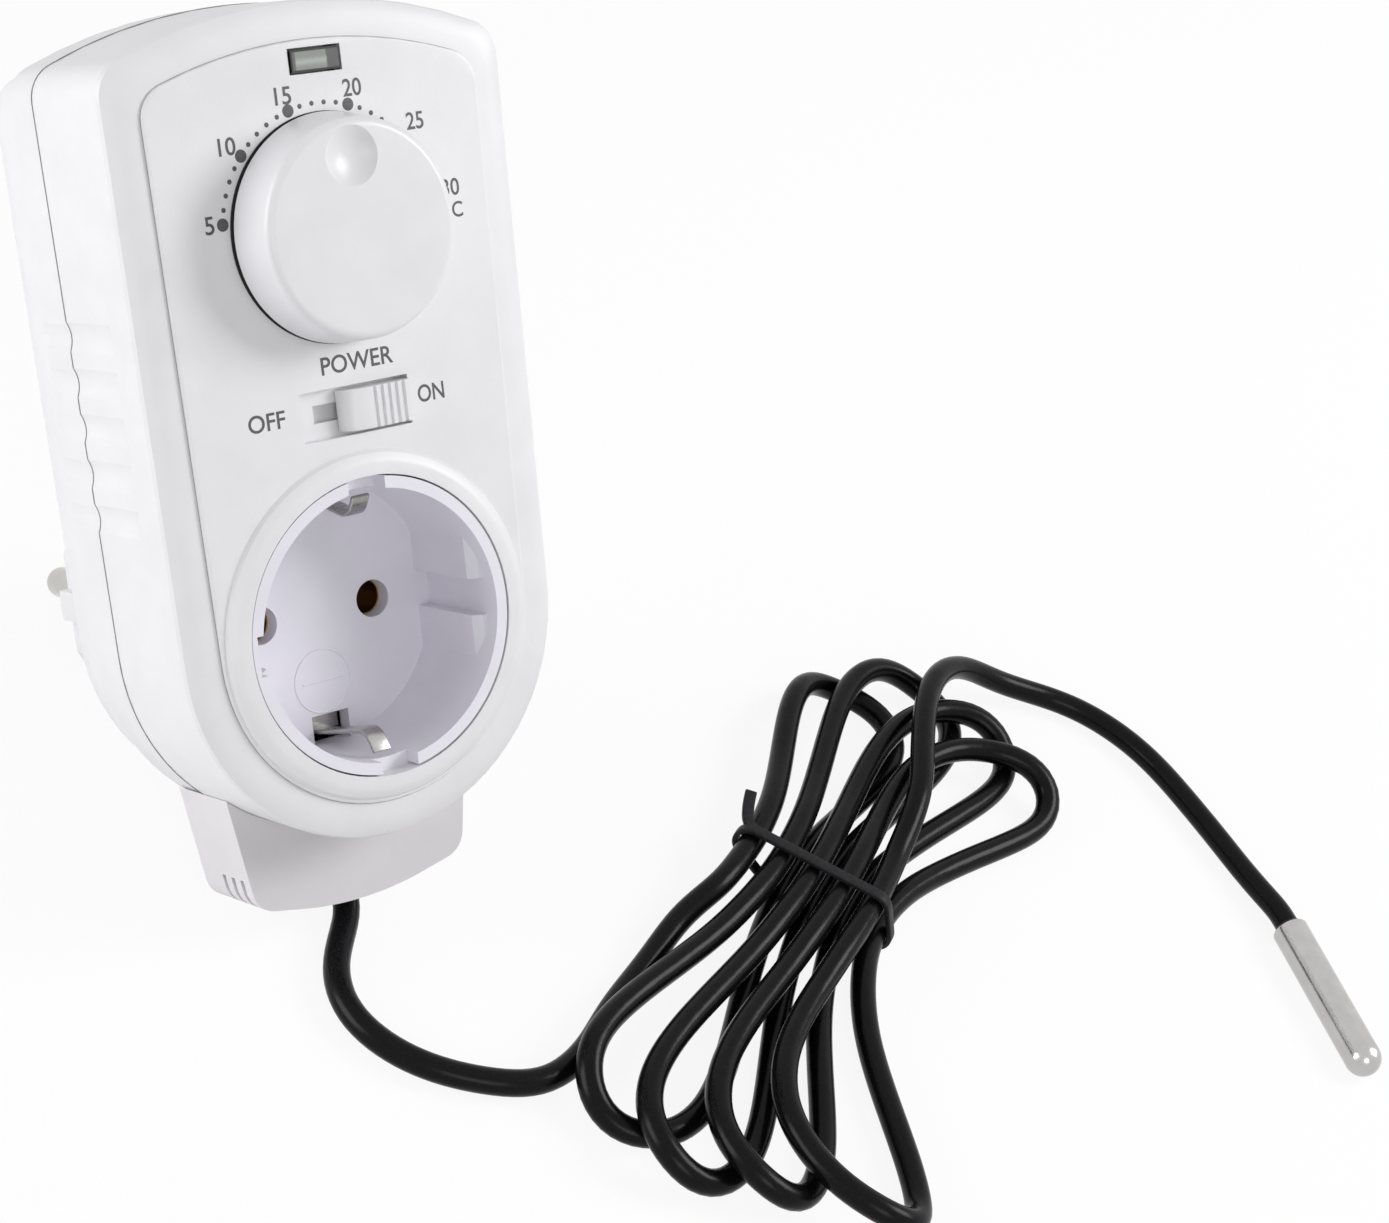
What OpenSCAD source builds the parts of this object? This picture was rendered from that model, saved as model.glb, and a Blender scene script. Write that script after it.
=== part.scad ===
// Plug-in temperature controller: a two-shell case with a mains socket, a dial knob, a power slide
// switch and an indicator window on its front, plug pins on its back, and a probe on a tied lead.
// Inside placed(), x runs across the front, y runs from the front plate to the back and z up the front,
// from the socket axis. placed() leans the case back on its plug pins, as it lies on a table.

/* [Case] */
// Radius of the round lower end of the case
case_r = 30.4; // [30:0.1:31.5]
// Half width of the case at its upper corners
case_top_half_w = 31.6; // [31:0.1:34]
// Height of the top of the case over the socket axis
case_top_z = 86; // [84:0.5:96]
// Radius of the shallow arch along the top
case_arch_r = 78; // [60:1:120]
// Radius of the two upper corners
case_corner_r = 5; // [4:0.5:7]
// Depth from the front plate to the back of the case
case_depth = 42.2; // [41:0.2:48]
// Depth of the parting line behind the front plate
parting_y = 19.6; // [18:0.2:22]
// Wall of both shells
wall = 2; // [1.6:0.1:2.4]
// Width of the sloping shoulder round the front plate
shoulder_w = 5.2; // [4.5:0.1:5.6]
// Drop of the shoulder from the front plate
shoulder_drop = 1.6; // [1:0.1:2.4]
// Rounding of the back edge
back_round_r = 9; // [6:0.5:11]
// Inward taper of the rear shell before the rounding
back_taper = 1.9; // [1:0.1:3]

/* [Side grips] */
// Number of finger grooves on each side
grip_count = 5; // [3:1:6]
// Distance from groove to groove
grip_pitch = 6.3; // [5:0.1:7]
// Height of the lowest groove
grip_low_z = 19.4; // [12:0.2:26]
// Width of a groove
grip_w = 4; // [3:0.1:4.6]
// Depth of a groove
grip_depth = 0.5; // [0.3:0.05:0.8]
// Depth behind the front plate at which the grooves begin
grip_front_y = 7.6; // [6:0.2:12]

/* [Socket] */
// Radius of the socket insert
insert_r = 21; // [20.6:0.1:21.6]
// Radius of the recess in the insert
recess_r = 19.3; // [19:0.1:19.5]
// Depth of the recess
recess_depth = 17.5; // [17.5:0.1:19]
// Height of the insert's rim over the front plate
rim_h = 1; // [0.6:0.1:1.4]
// Thickness of the insert's floor
socket_floor_t = 2.5; // [2:0.1:3.2]
// Half distance between the two pin holes
pin_half_pitch = 9.5; // [9.5:0.1:9.7]
// Radius of a pin hole
pin_hole_r = 2.75; // [2.6:0.05:3]
// Height of the ring that surrounds the insert
ring_h = 1.2; // [0.8:0.1:1.6]
// Distance of the guide ribs' faces from the middle
guide_half_gap = 17.2; // [17:0.1:17.6]
// Outer edge of a guide rib over the pin line
guide_out_z = 9.4; // [8:0.2:10]
// Width of the groove between two guide ribs
guide_groove_w = 5.4; // [4.8:0.1:6]

/* [Plug] */
// Radius of the plug boss
boss_r = 18.4; // [18:0.1:18.7]
// Length of the plug boss behind the case
boss_l = 17.8; // [17.6:0.1:20]
// Radius of a plug pin
pin_r = 2.4; // [2.35:0.05:2.4]
// Length of a plug pin over the boss
pin_l = 19; // [18.5:0.1:20]

/* [Dial knob] */
// Height of the knob's axis over the socket axis
knob_z = 55.5; // [54:0.5:57]
// Radius of the knob at its foot
knob_r = 15.6; // [14:0.1:16.4]
// Radius of the knob's face
knob_face_r = 14.9; // [13:0.1:15]
// Height of the knob
knob_h = 8.3; // [7:0.1:12]
// Radius of the dimple in the face
dimple_r = 4.1; // [3:0.1:4.6]
// Distance of the dimple from the knob's axis
dimple_offset = 9.8; // [9:0.1:10]
// Depth of the dimple
dimple_depth = 1.5; // [0.8:0.1:1.8]
// Radius of the spindle
spindle_r = 3; // [2.8:0.1:3]
// Running clearance round the spindle
spindle_clear = 0.06; // [0.04:0.01:0.08]

/* [Power switch] */
// Height of the switch's middle
switch_z = 30.5; // [30:0.1:31.5]
// Offset of the switch's middle from the middle of the plate
switch_x = 0.5; // [0:0.1:1]
// Length of the pocket that the slider moves in
pocket_l = 17.6; // [16.6:0.2:19]
// Width of the pocket
pocket_w = 6.9; // [6.4:0.1:7.4]
// Depth of the pocket
pocket_depth = 1.8; // [1.4:0.1:2]
// Length of the slider
slider_l = 10.8; // [9:0.2:11]
// Height of the slider's ridges over the front plate
slider_h = 1.2; // [0.8:0.1:2]
// Number of ridges on the slider
ridge_count = 6; // [4:1:7]

/* [Indicator] */
// Height of the window's middle
window_z = 78; // [76.5:0.2:78.4]
// Offset of the window's middle
window_x = 0.6; // [0:0.1:1]
// Length of the window
window_l = 7.8; // [6:0.2:9]
// Width of the window
window_w = 3; // [2.4:0.1:3.4]

/* [Cable housing] */
// Front face of the housing behind the front plate
housing_front_y = 13.2; // [12:0.2:14]
// Depth of the housing
housing_depth = 13.3; // [13:0.1:14.5]
// Half width of the housing where it meets the case
housing_top_half_w = 21.6; // [20:0.2:23]
// Half width of the housing at its lower corners
housing_low_half_w = 18.2; // [16:0.2:19]
// Drop of the housing's bottom below the case
housing_drop = 12; // [11.6:0.1:13.6]
// Radius of the curved bottom
housing_arc_r = 52; // [45:1:70]
// Radius of the lower corners
housing_corner_r = 4; // [3:0.5:5]
// Distance from the housing's front face to the lead's axis
exit_inset = 5.6; // [5.2:0.1:6.2]

/* [Lead and probe] */
// Diameter of the lead
lead_d = 4; // [3.6:0.1:4.2]
// Radius of the probe
probe_r = 3; // [2.8:0.1:3]
// Length of the probe
probe_l = 30; // [25:1:40]
// Reach of the hank's far loops from its tie
hank_far_l = 58; // [56:0.5:60]
// Reach of the hank's near loops from its tie
hank_near_l = 60; // [58:0.5:62]
// Bulge of the far loops
hank_far_bulge = 20; // [20:0.5:21]
// Bulge of the near loops
hank_near_bulge = 21; // [20.5:0.5:22]

/* [Hidden] */
// Distance from the socket axis to the bottom of the housing
housing_low_z = case_r + housing_drop;

// Overrun of cuts and seats that are fused
over = 0.4;
// Clearance of parts that seat in one another
seat_clear = 0.25;
// Clearance of a part pressed onto another
press_clear = 0.04;
// Sides of curved faces and of small balls
fine_sides = 96;
ball_sides = 32;

// Outline of the case: arcs that share their centres at every inset
arch_mid_z = case_top_z - case_arch_r;
outline_steps = 34;
corner_steps = 6;
arch_steps = 10;
function corner_mid(d, r) = let (x = case_top_half_w - d - r)
    [x, arch_mid_z + sqrt((case_arch_r - d - r) ^ 2 - x ^ 2)];
function arc(mid, r, from, to, steps) =
    [for (i = [0 : steps]) let (a = from + (to - from) * i / steps) mid + r * [cos(a), sin(a)]];
function side_angle(d, r) = let (m = corner_mid(d, r))
    atan2(m[1], m[0]) - acos((case_r - d - r) / norm(m));
function arch_angle(d, r) = let (m = corner_mid(d, r)) atan2(m[1] - arch_mid_z, m[0]);
function case_outline(d, r) = let (
    m = corner_mid(d, r), side = side_angle(d, r), top = arch_angle(d, r),
    arch = arc([0, arch_mid_z], case_arch_r - d, top, 180 - top, arch_steps))
    concat(
        arc(m, r, side, top, corner_steps),
        [for (i = [1 : arch_steps - 1]) arch[i]],
        arc([-m[0], m[1]], r, 180 - top, 180 - side, corner_steps),
        arc([0, 0], case_r - d, 180 - side, 360 + side, outline_steps));

// Case skins: each ring is [inset, depth behind the front plate, corner radius]
edge_round = 0.35;
shoulder_shares = [[1, 0.35], [0.62, 0.4], [0.34, 0.55], [0.15, 0.78], [0.05, 0.95], [0, 1.3]];
front_rings = concat(
    [[shoulder_w + edge_round, 0, case_corner_r - edge_round],
        [shoulder_w + edge_round * 0.3, edge_round * 0.3, case_corner_r - edge_round],
        [shoulder_w, edge_round, case_corner_r - edge_round]],
    [for (s = shoulder_shares) [shoulder_w * s[0], shoulder_drop * s[1], case_corner_r]],
    [[0, parting_y, case_corner_r]]);
front_hollow_rings = [
    [shoulder_w + wall, wall, case_corner_r - edge_round],
    [wall + wall, shoulder_drop + wall, case_corner_r - edge_round],
    [wall, shoulder_drop + wall + wall, case_corner_r - edge_round],
    [wall, parting_y + over, case_corner_r - edge_round]];
reveal = 0.15;
back_steps = 5;
back_start_y = case_depth - back_round_r;
function back_ring(a, grow) = [
    reveal + back_taper + grow + (back_round_r - grow) * (1 - cos(a)),
    back_start_y + (back_round_r - grow) * sin(a), case_corner_r];
rear_rings = concat(
    [[reveal, parting_y, case_corner_r],
        [reveal, housing_front_y + housing_depth + seat_clear, case_corner_r]],
    [for (i = [0 : back_steps]) back_ring(90 * i / back_steps, 0)]);
rear_hollow_rings = concat(
    [[reveal + wall, parting_y - over, case_corner_r - edge_round],
        [reveal + wall, housing_front_y + housing_depth + seat_clear, case_corner_r - edge_round]],
    [for (i = [0 : back_steps]) back_ring(90 * i / back_steps, wall)]);

module case_skin(rings) {
    outlines = [for (r = rings) [for (p = case_outline(r[0], r[2])) [p[0], r[1], p[1]]]];
    n = len(outlines[0]);
    last = (len(rings) - 1) * n;
    points = [for (o = outlines) for (p = o) p];
    sides = [for (k = [0 : len(rings) - 2]) for (i = [0 : n - 1]) let (j = (i + 1) % n)
        [k * n + i, k * n + j, (k + 1) * n + j, (k + 1) * n + i]];
    polyhedron(points, concat(
        [[for (i = [n - 1 : -1 : 0]) i]], sides, [[for (i = [0 : n - 1]) last + i]]));
}

// The lean: the back lower edge of the cable housing touches the table, and so does whichever comes first
// of the pin tips and the plug boss's face, at the edges of its earth channel
pin_tip_y = case_depth + boss_l + pin_l;
boss_face_y = case_depth + boss_l;
housing_back_y = housing_front_y + housing_depth;
tip_ball_y = pin_tip_y - pin_r;
earth_w = 6.4;
boss_low_z = sqrt(boss_r ^ 2 - (earth_w / 2 + seat_clear) ^ 2);
pin_lean = atan2(housing_low_z, tip_ball_y - housing_back_y)
    - asin(pin_r / norm([tip_ball_y - housing_back_y, housing_low_z]));
boss_lean = atan2(housing_low_z - boss_low_z, boss_face_y - housing_back_y);
lean = min(pin_lean, boss_lean);
function leaned_y(y, z) = y * cos(lean) + z * sin(lean);
function leaned_z(y, z) = z * cos(lean) - y * sin(lean);
table_z = leaned_z(housing_back_y, -housing_low_z);
skin_points = [for (r = concat(front_rings, rear_rings))
    for (p = case_outline(r[0], r[2])) [r[1], p[1]]];
mid_y = (min([for (p = skin_points) leaned_y(p[0], p[1])])
    + max([for (p = skin_points) leaned_y(p[0], p[1])])) / 2;
module placed() {
    translate([0, -mid_y, -table_z]) rotate([-lean, 0, 0]) children();
}
// A point of the case in the frame of the table
function on_table(x, y, z) = [x, leaned_y(y, z) - mid_y, leaned_z(y, z) - table_z];

// Helpers that all run along y from a given depth
module rod(r, y, l, x = 0, z = 0, sides = fine_sides) {
    translate([x, y, z]) rotate([-90, 0, 0]) cylinder(r = r, h = l, $fn = sides);
}
module block(x0, x1, y0, y1, z0, z1) {
    translate([x0, y0, z0]) cube([x1 - x0, y1 - y0, z1 - z0]);
}
module turned(profile) {
    rotate([90, 0, 0]) rotate_extrude($fn = fine_sides) polygon(profile);
}

// Screw towers that join both shells
screw_r = 1.45;
screw_head_r = 2.6;
screw_head_l = 2;
tower_r = 3.1;
tower_gap = 0.75;
low_tower_ring_r = insert_r + tower_r + tower_gap;
low_tower_angle = 44;
top_tower_inset = 6.2;
top_tower_x = case_top_half_w - top_tower_inset;
top_tower_drop = 2.8;
top_tower_z = corner_mid(0, case_corner_r)[1] - top_tower_drop;
low_tower_places = [for (s = [-1, 1])
    [s * low_tower_ring_r * cos(low_tower_angle), -low_tower_ring_r * sin(low_tower_angle)]];
tower_places = concat(low_tower_places, [for (s = [-1, 1]) [s * top_tower_x, top_tower_z]]);
screw_sink = 7;
screw_bite = 11;
screw_seat_y = case_depth - screw_sink;
screw_tip_y = parting_y - screw_bite;
head_tube_wall = 1;
head_tube_r = screw_head_r + seat_clear + head_tube_wall;

// Circuit board behind the front plate
board_y = 21.6;
board_t = 1.6;
board_half_w = 20.4;
board_gap = 3.6;
board_low_z = insert_r + board_gap;
board_over_window = 2.4;
board_top_z = window_z + board_over_window;
board_post_r = 2.3;
board_screw_r = 1.1;
board_screw_l = 7;
board_screw_inset = 3;
switch_body_half_l = 10.6;
low_screw_gap = 6.8;
low_screw_x = switch_body_half_l + low_screw_gap;
tower_to_screw = 8;
top_screw_x = top_tower_x - tower_to_screw;
board_places = [for (s = [-1, 1]) for (p = [[low_screw_x, board_low_z + board_screw_inset],
    [top_screw_x, board_top_z - board_screw_inset]]) [s * p[0], p[1]]];
board_back_y = board_y + board_t;

// Insert places that other pieces follow
insert_hole_r = insert_r + seat_clear;
recess_floor_y = recess_depth - rim_h;
insert_back_y = recess_floor_y + socket_floor_t;
plate_ring_r = case_r - shoulder_w;

// Grooves cut into both shells at once
groove_r = (grip_w ^ 2 / 4 + grip_depth ^ 2) / (2 * grip_depth);
function side_x(z) = let (a = side_angle(0, case_corner_r)) (case_r - z * sin(a)) / cos(a);
module grip_grooves() {
    for (s = [-1, 1], i = [0 : grip_count - 1]) {
        z = grip_low_z + i * grip_pitch;
        x = s * (side_x(z) - grip_depth + groove_r);
        rod(groove_r, grip_front_y, case_depth, x, z);
    }
}

// Lip of the indicator lens and its seat
lens_lip = 0.9;
lens_lip_t = 1;
lip_seat = lens_lip + seat_clear;

// Power switch places
pocket_floor_t = 1.4;
pocket_floor_y = pocket_depth;
slider_gap = 0.25;
slider_rest_x = switch_x + pocket_l / 2 - slider_gap - slider_l / 2;
slider_travel = pocket_l - slider_l - 2 * slider_gap;
slider_side_gap = 0.6;
slider_w = pocket_w - 2 * slider_side_gap;
stem_w = 2;
stem_l = 4.6;
stem_tip_y = 11.4;
slit_l = slider_travel + stem_l + 2 * slider_gap + over;
slit_w = stem_w + 2 * slider_gap;
switch_front_y = pocket_floor_y + pocket_floor_t + over;

// Cable housing places
exit_y = housing_front_y + exit_inset;
housing_wall = 2;
housing_floor_t = 3;
exit_clear = 0.3;
exit_hole_r = lead_d / 2 + exit_clear;
neck_half_w = 5.4;
neck_front_l = 2.6;
neck_back_l = 4.6;
neck_front_y = exit_y - neck_front_l;
neck_back_y = exit_y + neck_back_l;
neck_wall = 1.2;
neck_flange_gap = 1.5;
neck_flange_z = -case_r + wall + neck_flange_gap;
neck_flange_t = 1.2;
grip_block_half_w = 6.4;
grip_block_h = 5.4;
grip_block_z = -housing_low_z + housing_floor_t;

// Rounding of the ring round the socket, as shares of its height
ring_shares = [[0, 0], [0.35, 0.5], [1, 0.85], [1.6, 1]];
// Ledge that the flat of the plate leaves outside the ring
ring_ledge = 0.15;
module front_shell() placed() color("gainsboro") {
    ring_out_r = plate_ring_r - edge_round - ring_ledge;
    difference() {
        union() {
            difference() {
                case_skin(front_rings);
                case_skin(front_hollow_rings);
            }
            // Ring round the socket
            turned(concat([[insert_hole_r, -wall], [ring_out_r, -wall]],
                [for (c = ring_shares) [ring_out_r - ring_h * c[0], ring_h * c[1]]],
                [[insert_hole_r, ring_h]]));
            // Well of the slide switch
            block(switch_x - pocket_l / 2 - wall, switch_x + pocket_l / 2 + wall,
                over, pocket_floor_y + pocket_floor_t,
                switch_z - pocket_w / 2 - wall, switch_z + pocket_w / 2 + wall);
            for (p = tower_places)
                rod(tower_r, wall - over, parting_y - wall + over, p[0], p[1]);
            for (p = board_places) rod(board_post_r, wall - over, board_y - wall + over, p[0], p[1]);
        }
        rod(insert_hole_r, -ring_h - over, wall + ring_h + 2 * over);
        rod(spindle_r + seat_clear * 2, -over, wall + 2 * over, 0, knob_z);
        // Pocket and slit of the slide switch
        block(switch_x - pocket_l / 2, switch_x + pocket_l / 2, -over, pocket_floor_y,
            switch_z - pocket_w / 2, switch_z + pocket_w / 2);
        block(switch_x - slit_l / 2, switch_x + slit_l / 2, 0, pocket_floor_y + pocket_floor_t + over,
            switch_z - slit_w / 2, switch_z + slit_w / 2);
        // Indicator window, and the seat of the lens's lip behind it
        translate([window_x, wall + (lens_lip_t + seat_clear) / 2, window_z])
            cube([window_l + 2 * lip_seat, lens_lip_t + seat_clear, window_w + 2 * lip_seat], center = true);
        block(window_x - window_l / 2 - seat_clear, window_x + window_l / 2 + seat_clear, -over, wall + over,
            window_z - window_w / 2 - seat_clear, window_z + window_w / 2 + seat_clear);
        for (p = tower_places) rod(screw_r + press_clear, screw_tip_y - over, parting_y, p[0], p[1]);
        for (p = board_places)
            rod(board_screw_r + press_clear, board_y - board_screw_l, board_screw_l + over, p[0], p[1]);
        grip_grooves();
        housing_opening();
    }
}

// Opening in the bottom of both shells for the neck of the cable housing
module housing_opening() {
    block(-neck_half_w - seat_clear, neck_half_w + seat_clear,
        neck_front_y - seat_clear, neck_back_y + seat_clear, -case_r - over, -case_r + wall * 2);
}

// The plug boss, with side flats and keys for the guide ribs and channels for the earth strips
plug_clear = 0.4;
boss_flat_x = guide_half_gap - plug_clear;
boss_flat_z = guide_out_z + plug_clear;
boss_key_half_w = guide_groove_w / 2 - plug_clear;
boss_end_t = 3;
boss_hollow_r = 13.2;
earth_t = 0.9;
earth_z = 15.8;
pin_shank_r = 2;
pin_tube_r = 4.2;
pin_inner_l = 5;
pin_inner_y = case_depth - pin_inner_l;
module rear_shell() placed() color("whitesmoke") difference() {
    union() {
        difference() {
            case_skin(rear_rings);
            case_skin(rear_hollow_rings);
        }
        rod(boss_r, case_depth - wall, boss_l + wall);
        for (p = tower_places) rod(tower_r, parting_y, screw_seat_y - parting_y, p[0], p[1]);
        intersection() {
            for (p = tower_places) rod(head_tube_r, screw_seat_y - wall, case_depth, p[0], p[1]);
            case_skin(rear_rings);
        }
    }
    // Hollow of the boss, round the pin tubes
    difference() {
        rod(boss_hollow_r, case_depth - wall - over, boss_l + wall + over - boss_end_t);
        for (s = [-1, 1])
            rod(pin_tube_r, case_depth - wall - 2 * over, boss_l + wall + over, s * pin_half_pitch);
    }
    for (s = [-1, 1]) {
        rod(pin_shank_r + press_clear, case_depth - wall - over, boss_l + wall + 2 * over,
            s * pin_half_pitch);
        // Side flats with a key between them, and the channel of an earth strip
        for (t = [-1, 1]) block(
            min(s * boss_flat_x, s * (boss_r + over)), max(s * boss_flat_x, s * (boss_r + over)),
            case_depth, boss_face_y + over,
            min(t * boss_key_half_w, t * boss_flat_z), max(t * boss_key_half_w, t * boss_flat_z));
        block(-earth_w / 2 - seat_clear, earth_w / 2 + seat_clear,
            case_depth - wall - over, boss_face_y + over,
            min(s * earth_z, s * (boss_r + over)), max(s * earth_z, s * (boss_r + over)));
    }
    for (p = tower_places) {
        rod(screw_r + seat_clear, parting_y - over, case_depth, p[0], p[1]);
        rod(screw_head_r + seat_clear, screw_seat_y, case_depth, p[0], p[1]);
    }
    grip_grooves();
    housing_opening();
}

// Cable housing: a tapering block with an arched bottom, cut to the round end of the case
louvre_count = 3;
louvre_pitch = 2.5;
louvre_depth = 0.6;
louvre_w = 0.9;
louvre_front = 1.8;
louvre_h = 3.4;
low_corner_z = -housing_low_z + (housing_low_half_w - housing_corner_r) ^ 2 / (2 * housing_arc_r);
module housing_profile(inset) {
    intersection() {
        hull() {
            for (s = [-1, 1]) {
                translate([s * (housing_low_half_w - housing_corner_r), low_corner_z + housing_corner_r])
                    circle(r = housing_corner_r - inset, $fn = ball_sides);
                translate([s * (housing_top_half_w - over), -case_r / 2])
                    circle(r = over - inset / 10, $fn = ball_sides);
            }
            translate([0, -housing_low_z + housing_arc_r]) intersection() {
                circle(r = housing_arc_r - inset, $fn = fine_sides * 2);
                translate([0, -housing_arc_r]) square([housing_low_half_w, housing_corner_r], center = true);
            }
        }
        translate([-case_r, -housing_low_z * 2])
            square([case_r * 2, housing_low_z * 2 - case_r / 2 - inset]);
    }
}
module cable_housing() placed() color("lightgray") difference() {
    union() {
        difference() {
            translate([0, housing_back_y, 0]) rotate([90, 0, 0])
                linear_extrude(housing_depth) housing_profile(0);
            rod(case_r + seat_clear / 4, housing_front_y - over, housing_depth + 2 * over);
        }
        // Neck and the flange that both shells trap
        block(-neck_half_w, neck_half_w, neck_front_y, neck_back_y,
            -case_r - wall, neck_flange_z + over);
        block(-neck_half_w - wall, neck_half_w + wall, neck_front_y, neck_back_y,
            neck_flange_z, neck_flange_z + neck_flange_t);
    }
    // Hollow for the grip and the wires
    block(-grip_block_half_w - seat_clear, grip_block_half_w + seat_clear,
        housing_front_y + housing_wall, housing_back_y - housing_wall, grip_block_z, -case_r - wall);
    block(-neck_half_w + neck_wall, neck_half_w - neck_wall,
        neck_front_y + neck_wall, neck_back_y - neck_wall, -case_r - wall - over, 0);
    translate([0, exit_y, -housing_low_z - over])
        cylinder(r = exit_hole_r, h = housing_floor_t + 2 * over, $fn = fine_sides);
    // Louvres that wrap round both lower corners
    for (s = [-1, 1], i = [0 : louvre_count - 1])
        translate([s * (housing_low_half_w - housing_corner_r),
                housing_front_y + louvre_front + louvre_pitch * i, low_corner_z + housing_corner_r])
            rotate([-90, 0, 0]) difference() {
                cylinder(r = housing_corner_r + over, h = louvre_w, $fn = fine_sides);
                translate([0, 0, -over])
                    cylinder(r = housing_corner_r - louvre_depth, h = louvre_w + 2 * over, $fn = fine_sides);
                // Only the corner itself is slit: below the ball's middle and outside it
                translate([-s * housing_corner_r - housing_corner_r - over, -housing_corner_r * 2, -over])
                    cube([housing_corner_r * 2 + over * 2, housing_corner_r * 4, louvre_w + 2 * over]);
                translate([-housing_corner_r * 2, -housing_corner_r * 2 - louvre_h + housing_corner_r, -over])
                    cube([housing_corner_r * 4, housing_corner_r, louvre_w + 2 * over]);
            }
}

// Socket insert: a cup with guide ribs, pin holes, rim gaps and rear tubes for the contact sleeves
flange_r = plate_ring_r - wall - seat_clear;
flange_t = 1.5;
rim_gap_w = 6;
rim_gap_depth = 3;
clip_slot_w = 6.2;
clip_slot_in_z = 15;
notch_h = 5.6;
notch_depth = 0.8;
sleeve_r = 3.3;
sleeve_wall = 0.8;
sleeve_pin_gap = 6.2;
sleeve_l = pin_inner_y - sleeve_pin_gap - insert_back_y;
sleeve_tube_r = 4.8;
sleeve_tube_l = 6;
rib_front_y = 1.6;
rib_slope = 1.2;
module guide_rib(s, t) {
    in_z = guide_groove_w / 2;
    intersection() {
        block(-insert_r, insert_r, rib_front_y, recess_floor_y + over,
            min(t * in_z, t * guide_out_z), max(t * in_z, t * guide_out_z));
        translate([0, 0, -insert_r]) linear_extrude(2 * insert_r) polygon([
            [s * (guide_half_gap + rib_slope), rib_front_y], [s * guide_half_gap, rib_front_y + rib_slope],
            [s * guide_half_gap, recess_floor_y + over], [s * insert_r, recess_floor_y + over],
            [s * insert_r, rib_front_y]]);
        rod(recess_r + over, rib_front_y - over, recess_depth + 2 * over);
    }
}
module socket_insert() placed() color("lavender") difference() {
    union() {
        difference() {
            union() {
                rod(insert_r, -rim_h, insert_back_y + rim_h);
                rod(flange_r, wall, flange_t);
            }
            rod(recess_r, -rim_h - over, recess_depth + over);
        }
        for (s = [-1, 1], t = [-1, 1]) guide_rib(s, t);
        for (s = [-1, 1]) rod(sleeve_tube_r, insert_back_y - over, sleeve_tube_l + over, s * pin_half_pitch);
    }
    for (s = [-1, 1]) {
        rod(pin_hole_r, recess_floor_y - over, socket_floor_t + 2 * over, s * pin_half_pitch);
        rod(sleeve_r + seat_clear, insert_back_y, sleeve_tube_l + over, s * pin_half_pitch);
        // Slot of an earth clip in the floor, and the gap in the rim over it
        block(-clip_slot_w / 2, clip_slot_w / 2, recess_floor_y - over, insert_back_y + over,
            min(s * clip_slot_in_z, s * recess_r), max(s * clip_slot_in_z, s * recess_r));
        block(-rim_gap_w / 2, rim_gap_w / 2, -rim_h - over, -rim_h + rim_gap_depth,
            min(s * clip_slot_in_z, s * (insert_r + over)), max(s * clip_slot_in_z, s * (insert_r + over)));
    }
    for (p = low_tower_places) rod(tower_r + seat_clear, wall - over, flange_t + 2 * over, p[0], p[1]);
    // Notch in the left rim
    block(-recess_r - notch_depth, -recess_r + wall, -rim_h - over, recess_floor_y,
        -notch_h / 2, notch_h / 2);
}

// A metal strip of thickness t that follows points [y, z] in the plane across x
module bent_strip(path, t, x0, x1) {
    for (i = [0 : len(path) - 2]) {
        a = path[i];
        b = path[i + 1];
        turn = atan2(b[1] - a[1], b[0] - a[0]);
        translate([x0, a[0], a[1]]) rotate([turn, 0, 0])
            translate([0, -t / 2, -t / 2]) cube([x1 - x0, norm(b - a) + t, t]);
    }
}

clip_w = 5.6;
clip_t = 0.8;
clip_leg_w = 1.4;
strap_y = insert_back_y + clip_t / 2;
// An earth clip of the socket, as points [y, z]: two legs up to the contact, then the head over both
clip_inset = 1.9;
clip_foot_z = recess_r - clip_inset;
clip_knee_up = 3;
clip_contact_y = 4.6;
clip_squeeze = 1.8;
clip_head_l = 3;
clip_contact_z = clip_foot_z - clip_squeeze;
clip_legs = [[strap_y, clip_foot_z], [recess_floor_y - clip_knee_up, clip_foot_z],
    [clip_contact_y, clip_contact_z]];
clip_head = [[clip_contact_y, clip_contact_z],
    [clip_contact_y - clip_head_l / 2, clip_contact_z + clip_squeeze / 4],
    [clip_contact_y - clip_head_l, clip_foot_z]];
function mirrored(path, s) = [for (p = path) [p[0], s * p[1]]];
module socket_earth_strap() placed() color("silver") {
    for (s = [-1, 1]) {
        for (x = [-clip_w / 2, clip_w / 2 - clip_leg_w])
            bent_strip(mirrored(clip_legs, s), clip_t, x, x + clip_leg_w);
        bent_strip(mirrored(clip_head, s), clip_t, -clip_w / 2, clip_w / 2);
    }
    bent_strip([[strap_y, -clip_foot_z], [strap_y, clip_foot_z]], clip_t, -clip_w / 2, clip_w / 2);
}

plug_strap_y = case_depth - wall - earth_t / 2 - seat_clear;
strip_clear = 0.14;
strip_end_gap = 2;
bump_half_l = 4;
module plug_earth_strap() placed() color("silver") {
    strip_end_y = boss_face_y - strip_end_gap;
    bump_y = (case_depth + boss_face_y) / 2;
    strip_z = earth_z + earth_t / 2 + strip_clear;
    for (s = [-1, 1]) bent_strip([[plug_strap_y, s * strip_z], [bump_y - bump_half_l, s * strip_z],
        [bump_y, s * (strip_z + earth_t)], [bump_y + bump_half_l, s * strip_z], [strip_end_y, s * strip_z]],
        earth_t, -earth_w / 2, earth_w / 2);
    bent_strip([[plug_strap_y, -strip_z], [plug_strap_y, strip_z]], earth_t, -clip_w / 2, clip_w / 2);
}

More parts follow.
